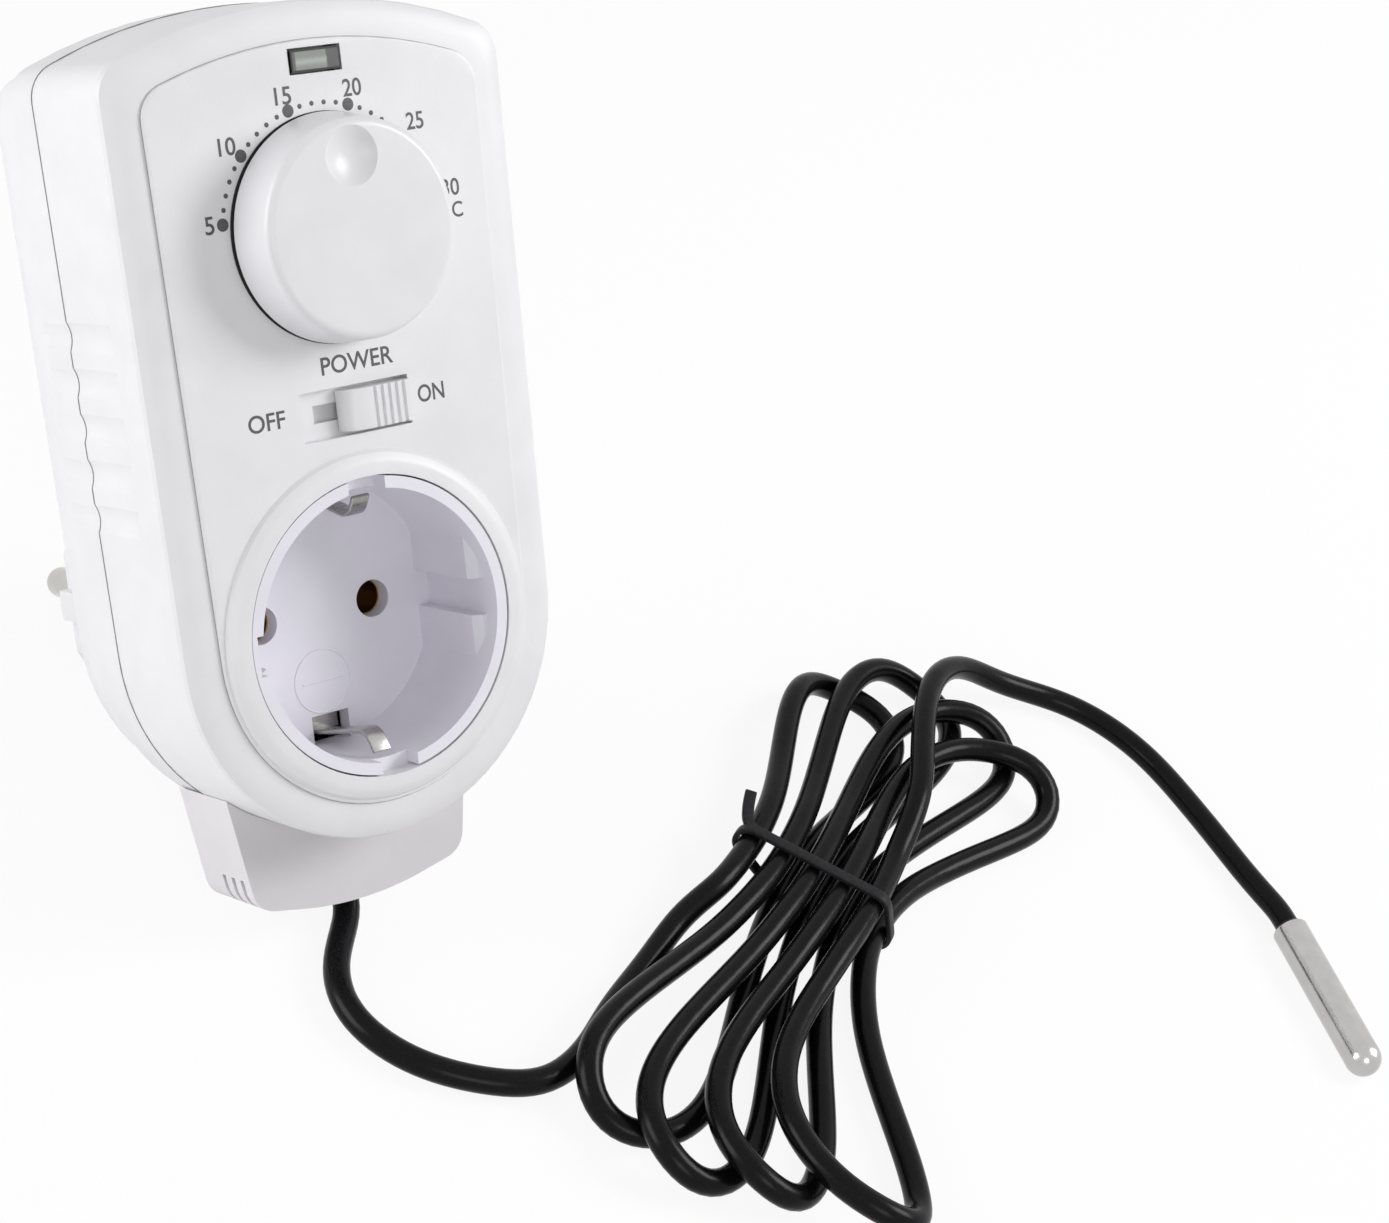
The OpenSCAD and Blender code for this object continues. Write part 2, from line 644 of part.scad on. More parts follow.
post_r = 1.5;
module earth_post() placed() color("silver") {
    front_y = strap_y + clip_t / 2;
    rod(post_r, front_y, plug_strap_y - earth_t / 2 - front_y);
}

// Plug pins with a rounded tip and a thinner shank that is set in the boss
module plug_pin(s) {
    translate([s * pin_half_pitch, boss_face_y, 0]) rotate([-90, 0, 0]) {
        cylinder(r = pin_r, h = pin_l - pin_r, $fn = fine_sides);
        translate([0, 0, pin_l - pin_r]) sphere(r = pin_r, $fn = fine_sides);
    }
    rod(pin_shank_r, pin_inner_y, boss_face_y - pin_inner_y + over, s * pin_half_pitch);
}
module live_pin() placed() color("gold") plug_pin(-1);
module neutral_pin() placed() color("gold") plug_pin(1);

// Contact sleeves behind the pin holes, slit on one side
module contact_sleeve(s) difference() {
    rod(sleeve_r, insert_back_y, sleeve_l, s * pin_half_pitch);
    rod(sleeve_r - sleeve_wall, insert_back_y - over, sleeve_l - sleeve_wall + over, s * pin_half_pitch);
    block(s * pin_half_pitch - sleeve_wall / 2, s * pin_half_pitch + sleeve_wall / 2,
        insert_back_y - over, insert_back_y + sleeve_l - sleeve_wall * 3, 0, sleeve_r + over);
}
module live_sleeve() placed() color("goldenrod") contact_sleeve(-1);
module neutral_sleeve() placed() color("goldenrod") contact_sleeve(1);

bar_t = 0.8;
bar_half_w = 3;
sleeve_back_y = insert_back_y + sleeve_l;
module neutral_bar() placed() color("peru") {
    outer_x = pin_half_pitch + bar_half_w + bar_t * 2;
    block(pin_half_pitch - bar_half_w, outer_x, sleeve_back_y, sleeve_back_y + bar_t,
        -bar_half_w, bar_half_w);
    block(pin_half_pitch - bar_half_w, outer_x, pin_inner_y - bar_t, pin_inner_y, -bar_half_w, bar_half_w);
    block(outer_x - bar_t, outer_x, sleeve_back_y, pin_inner_y, -bar_half_w, bar_half_w);
}
live_in_x = -pin_half_pitch - bar_half_w;
bar_rise = 2;
bar_top_z = board_low_z + bar_rise;
module live_in_bar() placed() color("peru") {
    block(live_in_x, -pin_half_pitch + bar_half_w, pin_inner_y - bar_t, pin_inner_y, -bar_half_w, bar_top_z);
    block(live_in_x, live_in_x + bar_half_w, board_back_y, pin_inner_y, bar_top_z - bar_t, bar_top_z);
}
module live_out_bar() placed() color("peru") {
    in_x = -pin_half_pitch + bar_half_w;
    tab_x = in_x - bar_half_w + bar_t;
    over_z = bar_top_z + bar_t * 2;
    block(live_in_x, in_x, sleeve_back_y, sleeve_back_y + bar_t, -bar_half_w, bar_half_w);
    block(tab_x, in_x, sleeve_back_y, sleeve_back_y + bar_t, 0, over_z + bar_t);
    block(tab_x, in_x, board_back_y, sleeve_back_y + bar_t, over_z, over_z + bar_t);
}

// Dial knob: a drafted disc with rounded edge, a dimple as its pointer and a hollow underside
knob_gap = 0.45;
knob_round = 1.3;
knob_wall = 1.8;
hub_r = 5;
dimple_angle = 93.8;
round_steps = 6;
spindle_tip_gap = 0.6;
spindle_tip_y = -knob_h + knob_wall + spindle_tip_gap;
module knob() placed() color("gainsboro") difference() {
    translate([0, 0, knob_z]) turned(concat(
        [[0, knob_gap], [knob_r - over, knob_gap], [knob_r, knob_gap + over]],
        [for (i = [0 : round_steps]) let (a = 90 * i / round_steps)
            [knob_face_r - knob_round * (1 - cos(a)), knob_h - knob_round * (1 - sin(a))]],
        [[0, knob_h]]));
    // Hollow underside round the hub
    difference() {
        rod(knob_face_r - knob_wall, -knob_h + knob_wall, knob_h, 0, knob_z);
        rod(hub_r, -knob_h, knob_h + over, 0, knob_z);
        translate([dimple_offset * cos(dimple_angle), -knob_h, knob_z + dimple_offset * sin(dimple_angle)])
            rotate([-90, 0, 0])
                cylinder(r = dimple_r + knob_wall, h = dimple_depth + knob_wall, $fn = fine_sides);
    }
    rod(spindle_r + press_clear, spindle_tip_y, knob_h, 0, knob_z);
    dimple_ball_r = (dimple_r ^ 2 + dimple_depth ^ 2) / (2 * dimple_depth);
    translate([dimple_offset * cos(dimple_angle), -knob_h - dimple_ball_r + dimple_depth,
            knob_z + dimple_offset * sin(dimple_angle)])
        sphere(r = dimple_ball_r, $fn = fine_sides);
}

pot_r = 8.3;
pot_body_l = 7.4;
pot_bush_r = 4.4;
pot_bush_l = 4.8;
pot_front_y = board_y - pot_body_l;
pot_end_t = 1.2;
module knob_spindle() placed() color("darkgray")
    rod(spindle_r, spindle_tip_y, board_y - pot_end_t - over - spindle_tip_y, 0, knob_z);
module potentiometer() placed() color("steelblue") difference() {
    union() {
        rod(pot_r, pot_front_y, pot_body_l, 0, knob_z);
        rod(pot_bush_r, pot_front_y - pot_bush_l, pot_bush_l + over, 0, knob_z);
    }
    rod(spindle_r + spindle_clear, pot_front_y - pot_bush_l - over,
        pot_bush_l + pot_body_l - pot_end_t + over, 0, knob_z);
}

// Slide button: a ramp on its left and ridges on its right, with a stem into the switch
ridge_l = 7;
// One ridge and the groove after it, as shares of the pitch and of the depth
ridge_shares = [[0.12, 0], [0.62, 0], [0.72, 1], [1, 1]];
ridge_pitch = ridge_l / ridge_count;
ridge_depth = 0.5;
slider_foot_y = pocket_floor_y - slider_gap;
module switch_slider() placed() color("white") {
    left_x = slider_rest_x - slider_l / 2;
    ridge_x = slider_rest_x + slider_l / 2 - ridge_l;
    translate([0, 0, switch_z - slider_w / 2]) linear_extrude(slider_w) polygon(concat(
        [[left_x, slider_foot_y]],
        [for (i = [0 : round_steps]) let (a = 90 * i / round_steps)
            [left_x + (ridge_x - left_x) * (1 - cos(a)),
                slider_foot_y - slider_gap - (slider_foot_y - slider_gap + slider_h) * sin(a)]],
        [for (i = [0 : ridge_count - 1]) for (p = ridge_shares)
            [ridge_x + ridge_pitch * (i + p[0]),
                -slider_h + (i < ridge_count - 1 ? ridge_depth * p[1] : 0)]],
        [[slider_rest_x + slider_l / 2, slider_foot_y]]));
    block(slider_rest_x - stem_l / 2, slider_rest_x + stem_l / 2, slider_foot_y - over, stem_tip_y,
        switch_z - stem_w / 2, switch_z + stem_w / 2);
}

switch_body_half_w = 4.6;
module switch_body() placed() color("dimgray") difference() {
    block(switch_x - switch_body_half_l, switch_x + switch_body_half_l, switch_front_y, board_y,
        switch_z - switch_body_half_w, switch_z + switch_body_half_w);
    block(switch_x - slit_l / 2, switch_x + slit_l / 2, switch_front_y - over, stem_tip_y + slider_gap,
        switch_z - slit_w / 2, switch_z + slit_w / 2);
}

lens_proud = 0.25;
module indicator_lens() placed() color("darkgray") {
    block(window_x - window_l / 2, window_x + window_l / 2, -lens_proud, wall + over,
        window_z - window_w / 2, window_z + window_w / 2);
    block(window_x - window_l / 2 - lens_lip, window_x + window_l / 2 + lens_lip, wall, wall + lens_lip_t,
        window_z - window_w / 2 - lens_lip, window_z + window_w / 2 + lens_lip);
}

lamp_r = 1.5;
lamp_gap = 0.3;
lamp_front_y = wall + lens_lip_t + lamp_gap;
lamp_flange_t = 1;
lamp_l = 5;
lamp_flange_r = 1.9;
spacer_r = 2.2;
module indicator_lamp() placed() color("tomato") {
    translate([window_x, lamp_front_y + lamp_r, window_z]) sphere(r = lamp_r, $fn = fine_sides);
    rod(lamp_r, lamp_front_y + lamp_r, lamp_l - lamp_r, window_x, window_z);
    rod(lamp_flange_r, lamp_front_y + lamp_l - lamp_flange_t, lamp_flange_t, window_x, window_z);
}
module lamp_spacer() placed() color("ivory") difference() {
    rod(spacer_r, lamp_front_y + lamp_l, board_y - lamp_front_y - lamp_l, window_x, window_z);
    rod(lamp_r / 2, lamp_front_y + lamp_l - over, board_y, window_x, window_z);
}

module circuit_board() placed() color("darkgreen") difference() {
    block(-board_half_w, board_half_w, board_y, board_back_y, board_low_z, board_top_z);
    for (p = board_places)
        rod(board_screw_r + seat_clear, board_y - over, board_t + 2 * over, p[0], p[1]);
}

// Pieces on the back of the board: [x, z, length, height, depth]
room_l = case_depth - wall - board_back_y;
relay_back_gap = 2.5;
relay_size = [19, 15.2, room_l - relay_back_gap];
relay_inset = 0.4;
relay_rise = 13.4;
relay_place = [-board_half_w + relay_inset, board_low_z + relay_rise];
module relay() placed() color("royalblue")
    block(relay_place[0], relay_place[0] + relay_size[0], board_back_y, board_back_y + relay_size[2],
        relay_place[1], relay_place[1] + relay_size[1]);
film_back_gap = 4;
film_size = [17.5, 7.4, room_l - film_back_gap];
film_inset = 0.4;
film_rise = 16.4;
film_place = [board_half_w - film_inset - film_size[0], board_low_z + film_rise];
module film_capacitor() placed() color("goldenrod")
    block(film_place[0], film_place[0] + film_size[0], board_back_y, board_back_y + film_size[2],
        film_place[1], film_place[1] + film_size[1]);
smoothing_r = 4;
smoothing_back_gap = 6;
smoothing_l = room_l - smoothing_back_gap;
smoothing_inset = 10.4;
smoothing_drop = 20.4;
smoothing_place = [board_half_w - smoothing_inset, board_top_z - smoothing_drop];
module smoothing_capacitor() placed() color("midnightblue")
    rod(smoothing_r, board_back_y, smoothing_l, smoothing_place[0], smoothing_place[1]);

// Two wires that run from the grip in the housing past the earth post to the board
wire_r = 0.65;
wire_step = 1.8;
wire_inset = 1.9;
terminal_x = 1.2;
wire_x = [terminal_x + wire_inset, terminal_x + wire_inset + wire_step];
neck_wire_x = [-wire_step / 2, wire_step / 2];
wire_rise = 4;
wire_y = board_back_y + wire_rise;
neck_wire_inset = 2;
wire_bend_l = 8;
wire_bend_gap = 2;
wire_bend_z = -insert_r - wire_bend_gap;
terminal_size = [10, 7, 8.4];
terminal_rise = 0.6;
terminal_z = board_low_z + terminal_rise;
module terminal_block() placed() color("seagreen")
    block(terminal_x, terminal_x + terminal_size[0], board_back_y, board_back_y + terminal_size[2],
        terminal_z, terminal_z + terminal_size[1]);
module sensor_wires() placed() color("firebrick") {
    low_y = exit_y + neck_wire_inset;
    for (i = [0, 1]) swept_tube([
        [neck_wire_x[i], low_y, grip_block_z + grip_block_h], [neck_wire_x[i], low_y, wire_bend_z],
        [wire_x[i], wire_y, wire_bend_z + wire_bend_l], [wire_x[i], wire_y, terminal_z]], wire_r, lead_sides);
}

module headed_screw(head_y, head_r, head_l, shank_r, shank_l, place) {
    rod(head_r, head_y, head_l, place[0], place[1]);
    rod(shank_r, head_y - shank_l, shank_l + over, place[0], place[1]);
}
board_head_r = 2.1;
board_head_l = 1.4;
module board_screws() placed() color("silver") for (p = board_places)
    headed_screw(board_back_y, board_head_r, board_head_l, board_screw_r, board_screw_l, p);
screw_hex_r = 1.2;
screw_hex_l = 1;
module case_screws() placed() color("silver")
    for (p = tower_places) difference() {
        headed_screw(screw_seat_y, screw_head_r, screw_head_l, screw_r, screw_seat_y - screw_tip_y, p);
        translate([p[0], screw_seat_y + screw_head_l - screw_hex_l, p[1]]) rotate([-90, 0, 0])
            cylinder(r = screw_hex_r, h = screw_hex_l + over, $fn = 6);
    }

grip_half_t = 3.2;
grip_hole_x = 4.4;
grip_hole_r = 1;
module cord_grip() placed() color("slategray") difference() {
    block(-grip_block_half_w, grip_block_half_w, exit_y - grip_half_t, exit_y + grip_half_t,
        grip_block_z, grip_block_z + grip_block_h);
    for (s = [-1, 1]) translate([s * grip_hole_x, exit_y, grip_block_z - over])
        cylinder(r = grip_hole_r, h = grip_block_h + 2 * over, $fn = ball_sides);
}

// The lead: its free stretches follow points on the table, in millimetres
lead_r = lead_d / 2;
lead_sides = 8;
hank_sides = 6;
lay_gap = 0.2;
join_gap = 0.05;
function unit(v) = v / norm(v);
function tangent(p, i) = unit(p[min(i + 1, len(p) - 1)] - p[max(i - 1, 0)]);
function carried(n, t) = unit(n - (n * t) * t);
function frames(p, i = 0, n = [0, 0, 1], done = []) = i >= len(p) ? done :
    let (side = i == 0 ? carried(abs(tangent(p, 0)[2]) > 0.6 ? [1, 0, 0] : [0, 0, 1], tangent(p, 0))
        : carried(n, tangent(p, i)))
    frames(p, i + 1, side, concat(done, [side]));
module swept_tube(p, r, sides) {
    f = frames(p);
    // The tube has the volume of a round one
    corner_r = r * sqrt(2 * PI / (sides * sin(360 / sides)));
    points = [for (i = [0 : len(p) - 1]) let (t = tangent(p, i), n = f[i], b = cross(t, n))
        for (k = [0 : sides - 1]) let (a = 360 * (k + 0.5) / sides)
            p[i] + corner_r * (cos(a) * n + sin(a) * b)];
    last = (len(p) - 1) * sides;
    walls = [for (i = [0 : len(p) - 2]) for (k = [0 : sides - 1]) let (j = (k + 1) % sides,
        a = i * sides + k, b = i * sides + j, c = (i + 1) * sides + j, d = (i + 1) * sides + k)
        each [[a, c, b], [a, d, c]]];
    polyhedron(points, concat([[for (k = [0 : sides - 1]) k]], walls,
        [[for (k = [sides - 1 : -1 : 0]) last + k]]));
}

// Points of a smooth run through hand-chosen places, a few to each stretch
function spline(p, i, t) = let (
    a = p[max(i - 1, 0)], b = p[i], c = p[i + 1], d = p[min(i + 2, len(p) - 1)])
    b + 0.5 * t * (c - a + t * (2 * a - 5 * b + 4 * c - d + t * (3 * (b - c) + d - a)));
function smooth_run(p, steps) = concat(
    [for (i = [0 : len(p) - 2]) for (k = [0 : steps - 1]) spline(p, i, k / steps)], [p[len(p) - 1]]);

exit_point = on_table(0, exit_y, -housing_low_z);
exit_dir = [0, -sin(lean), -cos(lean)];
grip_point = on_table(0, exit_y, grip_block_z);

// The hank: one tube whose loops fan out from the tie to both sides. The strands on the left of a loop
// lie in the upper layer and those on its right in the lower one, and it changes layer round each tip.
hank_mid = [71.5, -69.5];
hank_turn = 31;
hank_loops = 4;
hank_from = -0.27;
hank_to = 3.78;
hank_rings = 24;
hank_gap_least = 0.55;
hank_layer = lead_d + hank_gap_least;
waist_step = 5.3;
waist_side = 2.35;
// Of each far loop: place of its tip across, shortfall of its reach, extra bulge and angle of the change
far_tips = [-10.9, -2.5, 10.8, 20.1];
far_shorts = [8, -1.6, 1.9, 7.4];
far_bulges = [0.9, 1.4, 0, 2.5];
far_changes = [-22.6, -10.8, 7.5, 14.3];
far_change_share = 0.65;
// The same of each near loop; the last is the lone one
near_tips = [-9.2, 2.4, 13.8, 28.8];
near_shorts = [-0.3, -3.4, 0.9, 5.9];
near_bulges = [0, -1, -0.1, 6.1];
near_changes = [13.1, -1.6, -8.4, -18];
near_change_share = 0.64;
tie_t = 0.9;
tie_lift = 1;
tied_half_l = 14;
tie_w = 2.6;
function ramp(t) = let (c = min(max(t, 0), 1)) c * c * (3 - 2 * c);
function hank_far(s) = let (k = max(min(round(s), hank_loops - 1), 0))
    [far_tips[k], hank_far_l - far_shorts[k], hank_far_bulge + far_bulges[k], far_changes[k],
        far_change_share];
function hank_near(s) = let (k = max(min(floor(s), hank_loops - 1), 0))
    [near_tips[k], hank_near_l - near_shorts[k], hank_near_bulge + near_bulges[k], near_changes[k],
        near_change_share];
function hank_place(s) = let (
    a = 360 * s, g = cos(a) ^ 2, loop = cos(a) > 0 ? hank_far(s) : hank_near(s),
    x = waist_step * (s - hank_loops / 2 + 0.25) * (1 - g) + loop[0] * g
        + sin(a) * (waist_side + loop[2] * g),
    y = loop[1] * cos(a),
    upper = ramp(0.5 - sin(a - loop[3]) / loop[4]),
    tied = ramp(1.6 - abs(y) / tied_half_l))
    [hank_mid[0] + x * sin(hank_turn) + y * cos(hank_turn),
        hank_mid[1] - x * cos(hank_turn) + y * sin(hank_turn),
        lead_r + lay_gap + upper * hank_layer + tied * tie_lift];
hank_steps = ceil((hank_to - hank_from) * hank_rings);
hank_path = [for (i = [0 : hank_steps]) hank_place(hank_from + (hank_to - hank_from) * i / hank_steps)];

// The least gap between stretches of the hank that aren't neighbours along the lead
hank_dense = [for (i = [0 : hank_steps * 2])
    hank_place(hank_from + (hank_to - hank_from) * i / hank_steps / 2)];
hank_apart = 12;
hank_gap = min([for (i = [0 : len(hank_dense) - hank_apart - 1])
    for (j = [i + hank_apart : len(hank_dense) - 1])
    norm(hank_dense[i] - hank_dense[j])]) - lead_d;
echo(hank_gap = hank_gap);

// A point over the table that is given from the tie: across, along and up
function hank_over(x, y, z) = [hank_mid[0] + x * sin(hank_turn) + y * cos(hank_turn),
    hank_mid[1] - x * cos(hank_turn) + y * sin(hank_turn), z];

// The free stretches run straight for a little before each end, and stop just short of what holds them
straight_l = 4;
hank_in = unit(hank_path[1] - hank_path[0]);
hank_out = unit(hank_path[hank_steps] - hank_path[hank_steps - 1]);
start_points = concat(
    [exit_point, exit_point + exit_dir * join_gap * 10],
    [[-0.1, -42.7, 3.3], [-0.5, -43.9, 2.7], [-1.4, -45.3, 2.4], [-4.3, -48.4, 2.3], [-7.8, -52.6, 2.2],
        [-10, -60, 2.2], [-7.8, -68.3, 2.2], [-2, -75.5, 2.2], [7.5, -81.5, 2.2], [13.5, -81.7, 2.2],
        [20, -79.3, 2.2], [27.7, -74.4, 2.2], [37.5, -69.6, 2.5], [47, -65, 5]],
    [hank_path[0] - hank_in * straight_l]);
probe_base = [148.9, -105.6, probe_r];
probe_dir = unit([-0.3, -0.95, 0]);
plug_lip = 0.8;
end_points = concat(
    [hank_path[hank_steps] + hank_out * straight_l],
    [hank_over(6.5, 25, 11.2), hank_over(2.5, 37, 11.9), hank_over(-0.5, 48, 11.9), hank_over(-0.8, 57, 11),
        hank_over(2.4, 66, 6.8)],
    [[133.4, -40.9, 3.6], [140, -43.8, 2.4], [146.5, -48, 2.2], [151, -55, 2.2],
        [153.3, -65, 2.2], [152.6, -80, 2.2], [150.9, -94, 2.4]],
    [probe_base - probe_dir * (straight_l + plug_lip)]);

module lead_start() color("black") swept_tube(concat(
    [grip_point + exit_dir * join_gap], smooth_run(start_points, 2),
    [hank_path[0] - hank_in * join_gap]), lead_r, lead_sides);
module lead_hank() color("black") swept_tube(hank_path, lead_r, hank_sides);
module lead_end() color("black") swept_tube(concat(
    [hank_path[hank_steps] + hank_out * join_gap], smooth_run(end_points, 3),
    [probe_base - probe_dir * (plug_lip + join_gap)]), lead_r, lead_sides);

// Tie round the waist of the hank
tie_round = 3;
tie_clear = 0.5;
tie_side_clear = 0.9;
module hank_tie() {
    half_w = waist_step * (hank_loops / 2 - 1 / 4) + waist_side + lead_r + tie_side_clear;
    mid_x = -waist_step / 4;
    top_z = lead_d + hank_layer + tie_lift + tie_clear;
    color("black") translate(hank_over(mid_x, 0, 0)) rotate([90, 0, hank_turn + 90])
        linear_extrude(tie_w, center = true) difference() {
            hull() for (s = [-1, 1]) for (z = [tie_round, top_z + tie_t - tie_round])
                translate([s * (half_w + tie_t - tie_round), z]) circle(r = tie_round, $fn = ball_sides);
            hull() for (s = [-1, 1]) for (z = [tie_round, top_z + tie_t - tie_round])
                translate([s * (half_w + tie_t - tie_round), z])
                    circle(r = tie_round - tie_t, $fn = ball_sides);
        }
}

// Probe: a steel tube with a round end, closed by a dark plug round the lead
sleeve_t = 0.4;
sleeve_edge = 0.1;
sleeve_bore_r = probe_r - sleeve_t;
bead_r = 1.2;
bead_l = 4.5;
plug_l = 5;
module along_probe() {
    translate(probe_base) rotate([0, 0, atan2(probe_dir[1], probe_dir[0])]) rotate([0, 90, 0]) children();
}
module probe_sleeve() color("silver") along_probe() rotate_extrude($fn = fine_sides) polygon(concat(
    [[sleeve_bore_r, 0], [probe_r - sleeve_edge, 0], [probe_r, sleeve_edge]],
    [for (i = [0 : round_steps * 2]) let (a = 90 * i / round_steps / 2)
        [probe_r * cos(a), probe_l - probe_r + probe_r * sin(a)]],
    [[0, probe_l - probe_r + sleeve_bore_r], [sleeve_bore_r, probe_l - probe_r]]));
module probe_plug() color("dimgray") along_probe() {
    translate([0, 0, -plug_lip])
        cylinder(r = sleeve_bore_r - press_clear, h = plug_l + plug_lip, $fn = fine_sides);
}
module sensor_bead() color("saddlebrown") along_probe()
    translate([0, 0, plug_l]) cylinder(r = bead_r, h = bead_l, $fn = ball_sides);

front_shell();
rear_shell();
cable_housing();
socket_insert();
socket_earth_strap();
plug_earth_strap();
earth_post();
live_pin();
neutral_pin();
live_sleeve();
neutral_sleeve();
neutral_bar();
live_in_bar();
live_out_bar();
knob();
knob_spindle();
potentiometer();
switch_slider();
switch_body();
indicator_lens();
indicator_lamp();
lamp_spacer();
circuit_board();
relay();
film_capacitor();
smoothing_capacitor();
terminal_block();
sensor_wires();
board_screws();
case_screws();
cord_grip();
lead_start();
lead_hank();
lead_end();
hank_tie();
probe_sleeve();
probe_plug();
sensor_bead();
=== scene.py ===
"""Looks of the plug-in temperature controller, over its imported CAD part.

Lengths are in millimetres inside the classes and become metres when a mesh is made. Two frames
are used: the table's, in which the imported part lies, and the case's own, in which x runs across
the front plate, y from the plate to the back and z up the plate from the socket's axis. Lean
carries one to the other.
"""

import logging
import math
from collections.abc import Callable, Iterable, Sequence
from dataclasses import dataclass, field
from enum import Enum
from functools import reduce
from typing import NamedTuple

import bmesh
import bpy
import numpy as np
from bpy.types import ID, ColorRamp, Material, Mesh, Node, NodeSocket, Object, World
from mathutils import Matrix, Vector


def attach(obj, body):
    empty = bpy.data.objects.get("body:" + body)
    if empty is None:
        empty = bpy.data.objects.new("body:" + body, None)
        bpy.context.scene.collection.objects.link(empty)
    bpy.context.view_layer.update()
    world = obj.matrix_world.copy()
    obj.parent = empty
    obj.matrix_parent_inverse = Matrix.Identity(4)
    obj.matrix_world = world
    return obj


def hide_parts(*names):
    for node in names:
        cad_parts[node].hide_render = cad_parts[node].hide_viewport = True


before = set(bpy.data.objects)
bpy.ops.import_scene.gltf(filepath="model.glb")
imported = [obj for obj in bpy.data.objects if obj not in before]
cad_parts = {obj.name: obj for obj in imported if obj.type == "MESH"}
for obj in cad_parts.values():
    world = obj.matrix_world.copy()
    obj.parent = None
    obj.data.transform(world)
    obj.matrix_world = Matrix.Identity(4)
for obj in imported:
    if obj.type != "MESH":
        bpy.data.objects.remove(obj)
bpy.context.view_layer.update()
LOG = logging.getLogger("controller")
MM = 0.001
Colour = tuple[float, float, float]
Point = tuple[float, float, float]
Pair = tuple[float, float]
Array = np.ndarray


class Body(Enum):
    """The bodies of the part that pieces ride on."""

    CASE = "case"
    DIAL = "dial"
    SLIDER = "slider"


class Slot(Enum):
    """The record's material slots."""

    CASE = "case_grey"
    INSERT = "insert_grey"
    KNOB = "knob_grey"
    SPRING = "spring_metal"
    PIN = "plated_pin"
    LENS = "lens"
    DARK = "inner_dark"
    LEAD = "lead_black"
    PROBE = "probe_steel"


def cosine_sine(degrees: float) -> Pair:
    """Cosine and sine of an angle in degrees."""
    return math.cos(math.radians(degrees)), math.sin(math.radians(degrees))


@dataclass(frozen=True)
class Lean:
    """The case's lean on its plug pins, and where that puts it on the table."""

    degrees: float = 35.9856
    mid_y: float = 31.7119
    table_z: float = -49.8795

    def on_table(self, points: Array) -> Array:
        """Turns points about x by the lean, then moves them so that the lowest rests on z = 0.

        Args:
            points: rows of x, y, z in the case's own frame.

        Returns:
            The same rows in the table's frame.
        """
        c, s = cosine_sine(self.degrees)
        turn = np.array([[1, 0, 0], [0, c, s], [0, -s, c]])
        return np.asarray(points, float) @ turn.T - np.array([0, self.mid_y, self.table_z])

    def back(self, shader: "Shader", centre: Point = (0, 0, 0)) -> NodeSocket:
        """Object coordinates turned back into the case's own frame, in metres from centre.

        Args:
            shader: the shader that the nodes go into.
            centre: the point of the case, in millimetres, that becomes the origin.

        Returns:
            The socket of the turned coordinates.
        """
        c, s = cosine_sine(self.degrees)
        move = (-centre[0], c * self.mid_y - s * self.table_z - centre[1],
                s * self.mid_y + c * self.table_z - centre[2])
        return shader.mapped(shader.coordinates(), Rotation=(math.radians(self.degrees), 0, 0),
                             Location=tuple(v * MM for v in move))


LEAN = Lean()


# Shaders


def operator(operation: str, flipped: bool = False) -> Callable[..., "Signal"]:
    """Makes a method of Signal that adds one Math node.

    Args:
        operation: the node's operation.
        flipped: whether the signal comes after the other values.

    Returns:
        The method.
    """

    def method(self: "Signal", *others: "Signal | float") -> "Signal":
        """The operation on this signal and the others."""
        return self.math(operation, *others, flipped=flipped)

    return method


class Signal:
    """A socket that carries a number. Arithmetic on it adds the Math nodes that do the sum."""

    __add__ = __radd__ = operator("ADD")
    __mul__ = __rmul__ = operator("MULTIPLY")
    __sub__, __rsub__ = operator("SUBTRACT"), operator("SUBTRACT", flipped=True)
    __truediv__, __rtruediv__ = operator("DIVIDE"), operator("DIVIDE", flipped=True)
    __abs__ = operator("ABSOLUTE")
    greatest, least = operator("MAXIMUM"), operator("MINIMUM")

    def __init__(self, shader: "Shader", socket: NodeSocket) -> None:
        """Wraps a socket of the shader."""
        self.shader = shader
        self.socket = socket

    def math(self, operation: str, *others: "Signal | float", flipped: bool = False,
             clamp: bool = False) -> "Signal":
        """Adds one Math node.

        Args:
            operation: the node's operation.
            others: the other values, as signals or numbers.
            flipped: whether this signal comes after the others.
            clamp: whether the result is held between 0 and 1.

        Returns:
            The result's signal.
        """
        values = [*others, self] if flipped else [self, *others]
        made = self.shader.node("Math", dict(enumerate(values)), operation=operation,
                                use_clamp=clamp)
        return Signal(self.shader, made.outputs[0])

    def rise(self, low: float, high: float) -> "Signal":
        """0 at low and 1 at high, straight between them and held outside."""
        return (self - low).math("DIVIDE", high - low, clamp=True)

    def sway(self, width: float) -> "Signal":
        """The signal's distance from its middle, one half, times width."""
        return (self - 0.5) * width


